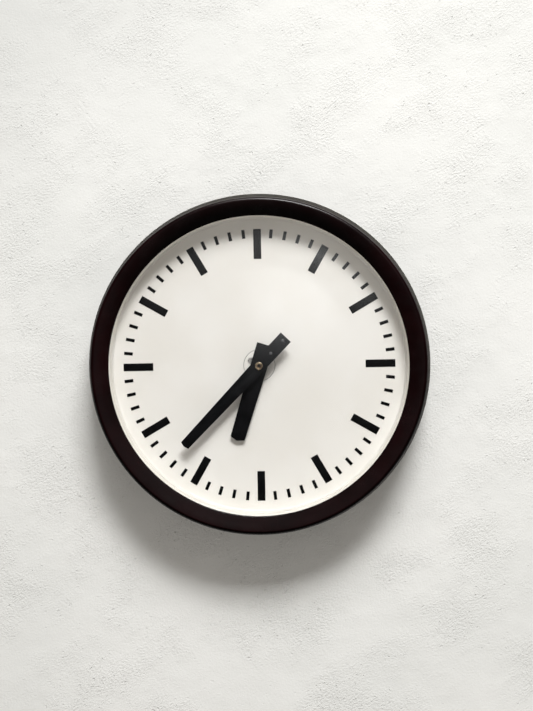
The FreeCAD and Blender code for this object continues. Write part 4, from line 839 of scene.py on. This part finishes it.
# %% Bars on the dial
def bar_ring():
    inputs = [SHAPE, ("Count", WHOLE), ("Left Out", WHOLE), ("Outer", NUMBER), ("Length", NUMBER),
              ("Width", NUMBER), ("Thickness", NUMBER), ("Depth", NUMBER), ("Finish", FINISH)]
    tree, given, result = new_group("bar_ring", inputs, SHAPE, GEOMETRY)
    size = vector(tree, given["Width"], given["Thickness"], given["Length"])
    block = put(tree, "GeometryNodeMeshCube", {"Size": size}).outputs["Mesh"]
    reach = calc(tree, "MULTIPLY_ADD", given["Length"], -0.5, given["Outer"])
    depth = calc(tree, "MULTIPLY_ADD", given["Thickness"], 0.5, given["Depth"])
    bar = moved(tree, block, vector(tree, y=calc(tree, "MULTIPLY", depth, -1.0), z=reach))
    number = calc(tree, "ADD", put(tree, "GeometryNodeInputIndex").outputs[0], 1.0)
    kept = calc(tree, "GREATER_THAN", calc(tree, "MODULO", number, given["Left Out"]), 0.5)
    turn = calc(tree, "DIVIDE", calc(tree, "MULTIPLY", number, 2 * pi), given["Count"])
    points = put(tree, "GeometryNodePoints", {"Count": given["Count"]}).outputs[0]
    layout = {"Points": points, "Selection": kept, "Instance": bar, "Rotation": vector(tree, y=turn)}
    ring = put(tree, "GeometryNodeInstanceOnPoints", layout).outputs[0]
    close_recipe(tree, ring, given["Finish"], result)
    return tree


HOURS = 12
MINUTES = 60
HOUR_BAR = (28.7 * MM, 7.4 * MM)
MINUTE_BAR = (8.5 * MM, 3.1 * MM)
INK_EDGE = 0.05 * MM
bars = bar_ring()
bar_end = sqrt(bar_outer ** 2 - HOUR_BAR[1] ** 2 / 4)
# The first number to leave out comes after the last hour, so every hour has its bar.
for name, count, left_out, (length, width), node in (
        ("hour_marks", HOURS, HOURS + 1, HOUR_BAR, "hour_bars"),
        ("minute_marks", MINUTES, MINUTES // HOURS, MINUTE_BAR, "minute_bars")):
    values = {"Count": count, "Left Out": left_out, "Outer": bar_end, "Length": length, "Width": width,
              "Thickness": print_front - dial_front, "Depth": dial_front, "Finish": finishes["dial_print"]}
    add_piece(name, grow(name, bars, [], values, bevel=INK_EDGE), "case", "dial_print", node)

# %% [markdown]
# Slotted cheese-head screws hold the plate under the hub, the white ring, the hinge and the catch.
# One tree makes them all: a head with a chamfer, a slot cut with a boolean, and a shank.
# Each screw stops at its own angle, so a seeded random spin turns them.

# %% Slotted screws
CHAMFER_SHARE = 0.25
BLADE_SHARE = 2.4
HEAD_SIDES = 32
SHANK_SIDES = 20


def set_out(tree, given, result, head, rotation):
    """Give a head its shank, set both at every given point, and end the tree."""
    size = {"Vertices": SHANK_SIDES, "Radius": given["Shank"], "Depth": given["Grip"]}
    shank = put(tree, "GeometryNodeMeshCylinder", size).outputs["Mesh"]
    driven = moved(tree, shank, vector(tree, z=calc(tree, "MULTIPLY", given["Grip"], -0.5)))
    whole = put(tree, "GeometryNodeJoinGeometry", {"Geometry": head})
    tree.links.new(driven, whole.inputs["Geometry"])
    layout = {"Points": given["Geometry"], "Instance": whole.outputs[0], "Rotation": rotation}
    close_recipe(tree, put(tree, "GeometryNodeInstanceOnPoints", layout).outputs[0], given["Finish"], result)


def slotted_screws():
    inputs = [SHAPE, ("Head", NUMBER), ("Height", NUMBER), ("Slot", NUMBER), ("Shank", NUMBER),
              ("Grip", NUMBER), ("Tilt", VECTOR), ("Seed", WHOLE), ("Finish", FINISH)]
    tree, given, result = new_group("slotted_screws", inputs, SHAPE, GEOMETRY)
    chamfer = calc(tree, "MULTIPLY", given["Height"], CHAMFER_SHARE)
    body = calc(tree, "SUBTRACT", given["Height"], chamfer)
    size = {"Vertices": HEAD_SIDES, "Radius": given["Head"], "Depth": body}
    disc = put(tree, "GeometryNodeMeshCylinder", size)
    raised = moved(tree, disc.outputs["Mesh"], vector(tree, z=calc(tree, "MULTIPLY", body, 0.5)))
    upwards = {"Mesh": raised, "Selection": disc.outputs["Top"], "Offset Scale": chamfer}
    crown = put(tree, "GeometryNodeExtrudeMesh", upwards).outputs
    shrink = calc(tree, "DIVIDE", calc(tree, "SUBTRACT", given["Head"], chamfer), given["Head"])
    inwards = {"Geometry": crown["Mesh"], "Selection": crown["Top"], "Scale": shrink}
    head = put(tree, "GeometryNodeScaleElements", inwards).outputs[0]
    slot = vector(tree, calc(tree, "MULTIPLY", given["Head"], BLADE_SHARE), given["Slot"], given["Height"])
    blade = put(tree, "GeometryNodeMeshCube", {"Size": slot}).outputs["Mesh"]
    cutter = moved(tree, blade, vector(tree, z=given["Height"]))
    cut = put(tree, "GeometryNodeMeshBoolean", {"Mesh 1": head, "Mesh 2": cutter}, operation="DIFFERENCE")
    angle = put(tree, "FunctionNodeRandomValue", {2: 0.0, 3: pi, "Seed": given["Seed"]}).outputs[1]
    spin = put(tree, "FunctionNodeAxisAngleToRotation", {"Axis": (0, 0, 1), "Angle": angle}).outputs[0]
    tilt = put(tree, "FunctionNodeEulerToRotation", {0: given["Tilt"]}).outputs[0]
    turn = put(tree, "FunctionNodeRotateRotation", {0: tilt, 1: spin}, rotation_space="LOCAL").outputs[0]
    set_out(tree, given, result, cut.outputs["Mesh"], turn)
    return tree


screws = slotted_screws()
print("screw recipe with", len(screws.nodes), "nodes")

# %% [markdown]
# Each screw takes its place and its size from the CAD. A node holds several screws as one mesh, so its solids
# are told apart by walking along their edges.

# %% Screws in place
SLOT_SHARE = 0.34
HEAD_HEIGHT = 1.2 * MM
SHANK = 1.5 * MM
THIN_SHANK = 1.0 * MM
HUB_SEED = 4
RING_SEED = 7
HINGE_SEED = 11
TO_FRONT = (pi / 2, 0, 0)
# The axis that a head faces along, which way, and the tilt that turns a screw to it.
FRONT = (1, -1, TO_FRONT)
BACK = (1, 1, (-pi / 2, 0, 0))
RIGHT = (0, 1, (0, pi / 2, 0))
LEFT = (0, -1, (0, -pi / 2, 0))


def solids(node):
    """Box of each separate solid in a CAD node, as its low and high corner."""
    work = welded(nodes[node].data)
    unseen = set(work.verts)
    boxes = []
    while unseen:
        queue = [unseen.pop()]
        found = []
        while queue:
            vertex = queue.pop()
            found.append(vertex.co.copy())
            near = {edge.other_vert(vertex) for edge in vertex.link_edges} & unseen
            unseen -= near
            queue += near
        boxes.append((Vector([min(point[axis] for point in found) for axis in range(3)]),
                      Vector([max(point[axis] for point in found) for axis in range(3)])))
    work.free()
    return sorted(boxes, key=lambda box: tuple(box[0]))


def set_screws(name, boxes, direction, shank, seed):
    """Screws in place of a CAD node's solids. Their heads end where the solids end in a direction."""
    axis, towards, tilt = direction
    seats = []
    for low, high in boxes:
        seat = (low + high) / 2
        seat[axis] = (high[axis] - HEAD_HEIGHT) if towards > 0 else (low[axis] + HEAD_HEIGHT)
        seats.append(seat)
    low, high = boxes[0]
    head = (high.z - low.z) / 2
    values = {"Head": head, "Height": HEAD_HEIGHT, "Slot": head * SLOT_SHARE, "Shank": shank,
              "Grip": high[axis] - low[axis] - HEAD_HEIGHT, "Tilt": tilt, "Seed": seed,
              "Finish": finishes["steel"]}
    return grow(name, screws, seats, values)


hub_screws = set_screws("hub_screws", solids("centre_plate_screws"), FRONT, SHANK, HUB_SEED)
add_piece("hub_screws", hub_screws, "case", "steel", "centre_plate_screws")
ring_screws = set_screws("ring_screws", solids("rehaut_screws"), BACK, THIN_SHANK, RING_SEED)
add_piece("ring_screws", ring_screws, "bezel", "steel", "rehaut_screws")

for body, node, left_way, right_way in (("bezel", "bezel_fitting_screws", RIGHT, LEFT),
                                        ("case", "case_fitting_screws", LEFT, RIGHT)):
    name = body + "_hinge_screws"
    both = bmesh.new()
    for on_left, way in ((True, left_way), (False, right_way)):
        chosen = [box for box in solids(node) if (box[0].x < 0) == on_left]
        both.from_mesh(set_screws(node + "_side", chosen, way, SHANK, HINGE_SEED))
    add_piece(name, written(both, bpy.data.meshes.new(name)), body, "steel", node)

# %% [markdown]
# Hands, hanger and other flat parts are cut from sheet. A filled curve with a small bevel gives such a part
# in one step: its outline, its holes and a softened edge. The bevel is drawn inwards, so the size stays true.

# %% Sheet parts
LOOP_STEPS = 64


def sheet_part(name, loops, back, front, edge):
    """Flat part between two depths, from closed loops of (x, z) points. The first loop is the outline."""
    curve = bpy.data.curves.new(name, "CURVE")
    curve.dimensions = "2D"
    curve.fill_mode = "BOTH"
    curve.extrude = (front - back) / 2 - edge
    curve.bevel_depth = edge
    curve.bevel_resolution = BEVEL_STEPS
    curve.offset = -edge
    for loop in loops:
        spline = curve.splines.new("POLY")
        spline.points.add(len(loop) - 1)
        for point, (x, z) in zip(spline.points, loop):
            point.co = (x, z, 0, 1)
        spline.use_cyclic_u = True
    mesh = taken(name, add_object(name + "_holder", curve))
    mesh.transform(Matrix.Translation((0, -(back + front) / 2, 0)) @ Matrix.Rotation(pi / 2, 4, "X"))
    work = welded(mesh)
    bmesh.ops.recalc_face_normals(work, faces=work.faces)
    mesh.materials.clear()
    return written(work, mesh)


def ring_loop(radius, middle=(0, 0), steps=LOOP_STEPS):
    """Circle as a loop of (x, z) points."""
    return [(middle[0] + radius * sin(2 * pi * step / steps),
             middle[1] + radius * cos(2 * pi * step / steps)) for step in range(steps)]


def outline_of(node):
    """Outer loop of a flat CAD node in x and z, for a part without hollows in its outline."""
    points = [(vertex.co.x, vertex.co.z) for vertex in nodes[node].data.vertices]
    return [points[index] for index in convex_hull_2d(points)]


# %% [markdown]
# The hands are plain tapered blades of black painted sheet with a hole for their boss. Their corners come
# from the CAD nodes, so time and size agree with the frame. A round bronze nut holds them on the arbor.

# %% Hands
HAND_EDGE = 0.25 * MM
for body in ("hour", "minute"):
    node = body + "_hand"
    hole, _, back, front = span(node)
    hand = sheet_part(node + "_sheet", [outline_of(node), ring_loop(hole)], back, front, HAND_EDGE)
    add_piece(node + "_sheet", hand, body, "hand_black", node)

NUT_EDGE = 0.5 * MM
NUT_DISH = 1.0 * MM
nut_hole, nut_edge, nut_back, nut_front = span("hand_nut")
hand_nut = turned("round_nut", (
    (nut_hole, nut_back),
    (nut_edge, nut_back, FINE_EDGE),
    (nut_edge, nut_front, NUT_EDGE),
    (nut_hole + NUT_DISH, nut_front, SOFT_EDGE),
    (nut_hole, nut_front - NUT_DISH),
), steps=SMALL_STEPS)
add_piece("round_nut", hand_nut, "minute", "brass", "hand_nut", finish="bronze")

# %% [markdown]
# Under the hands a small white plate fills the dial's hole, held by three screws. A hairline gap round it
# shows as a fine dark line, so the plate is a turned disc of its own and not part of the dial.

# %% Hub plate
HUB_EDGE = 0.4 * MM
hub_hole, hub_edge, hub_back, hub_front = span("centre_plate")
hub_plate = turned("hub_plate", (
    (hub_hole, hub_back),
    (hub_edge, hub_back),
    (hub_edge, hub_front, HUB_EDGE),
    (hub_hole, hub_front, FINE_EDGE),
), steps=RING_STEPS // 2)
add_piece("hub_plate", hub_plate, "case", "dial_white", "centre_plate")

# %% [markdown]
# Rivets with low round heads hold the counterweight to the minute hand's tail and the hanger to the back.
# They repeat too, so a tree sets a flattened ball and a shank at each place.

# %% Rivets
BALL_SIDES = 28
BALL_RINGS = 14
TAIL_SHANK = 1.1 * MM


def round_rivets():
    inputs = [SHAPE, ("Head", NUMBER), ("Rise", NUMBER), ("Shank", NUMBER), ("Grip", NUMBER), ("Tilt", VECTOR),
              ("Finish", FINISH)]
    tree, given, result = new_group("round_rivets", inputs, SHAPE, GEOMETRY)
    size = {"Segments": BALL_SIDES, "Rings": BALL_RINGS, "Radius": given["Head"]}
    ball = put(tree, "GeometryNodeMeshUVSphere", size).outputs["Mesh"]
    squash = vector(tree, 1.0, 1.0, calc(tree, "DIVIDE", given["Rise"], given["Head"]))
    head = put(tree, "GeometryNodeTransform", {"Geometry": ball, "Scale": squash}).outputs[0]
    tilt = put(tree, "FunctionNodeEulerToRotation", {0: given["Tilt"]}).outputs[0]
    set_out(tree, given, result, head, tilt)
    return tree


rivets = round_rivets()


def middles(boxes):
    """Middle of each box in x and z."""
    return [((low.x + high.x) / 2, (low.z + high.z) / 2) for low, high in boxes]


def set_rivets(name, boxes, depth, shank, finish):
    """Rivets in place of a CAD node's solids, with their heads seated at a depth."""
    low, high = boxes[0]
    values = {"Head": (high.x - low.x) / 2, "Rise": -depth - low.y, "Shank": shank, "Grip": high.y + depth,
              "Tilt": TO_FRONT, "Finish": finishes[finish]}
    return grow(name, rivets, [(x, -depth, z) for x, z in middles(boxes)], values)


hand_front = span("minute_hand")[3]
# The heads' grey finish is partly their black paint and partly a painted glint.
tail_rivets = set_rivets("tail_rivets", solids("counterweight_rivets"), hand_front, TAIL_SHANK, "rivet_grey_glint")
add_piece("tail_rivets", tail_rivets, "minute", "hand_black", "counterweight_rivets")

# %% [markdown]
# On the back, a steel plate with a round hole takes the nail, and four rivets hold it in its recess.
# The cable hole is lined by a rubber grommet: a neck through the case's wall and a wider flange inside.
# Plate, rivets and grommet reuse the sheet, rivet and lathe helpers.

# %% Hanger and grommet
HANGER_EDGE = 0.3 * MM
HANG_HOLE = 4.5 * MM
FLOOR = 4.0 * MM
hanger_back, hanger_front = span("hanger_plate")[2:]
hanger_low, hanger_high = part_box("hanger_plate")
hang_place = (0, (hanger_low[2] + hanger_high[2]) / 2)
rivet_boxes = solids("hanger_rivets")
hanger_loops = [outline_of("hanger_plate"), ring_loop(HANG_HOLE, hang_place)]
hanger_loops += [ring_loop(SHANK + HANGER_EDGE, middle, LOOP_STEPS // 2) for middle in middles(rivet_boxes)]
hanger = sheet_part("hanger_sheet", hanger_loops, hanger_back, hanger_front, HANGER_EDGE)
add_piece("hanger_sheet", hanger, "case", "steel", "hanger_plate")
back_rivets = set_rivets("back_rivets", rivet_boxes, FLOOR, SHANK, "steel")
add_piece("back_rivets", back_rivets, "case", "steel", "hanger_rivets")

RUBBER_EDGE = 0.6 * MM
BORE = 4.0 * MM
NECK = 5.9 * MM
grommet_low, grommet_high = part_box("cable_grommet")
grommet_front = -grommet_low[1]
grommet_place = (0, (grommet_low[2] + grommet_high[2]) / 2)
flange = (grommet_high[0] - grommet_low[0]) / 2
grommet = turned("rubber_grommet", (
    (BORE, 0, RUBBER_EDGE),
    (NECK, 0, RUBBER_EDGE),
    (NECK, FLOOR),
    (flange, FLOOR, RUBBER_EDGE / 2),
    (flange, grommet_front, RUBBER_EDGE),
    (BORE, grommet_front, RUBBER_EDGE),
), grommet_place, SMALL_STEPS)
add_piece("rubber_grommet", grommet, "case", "black_rubber", "cable_grommet")
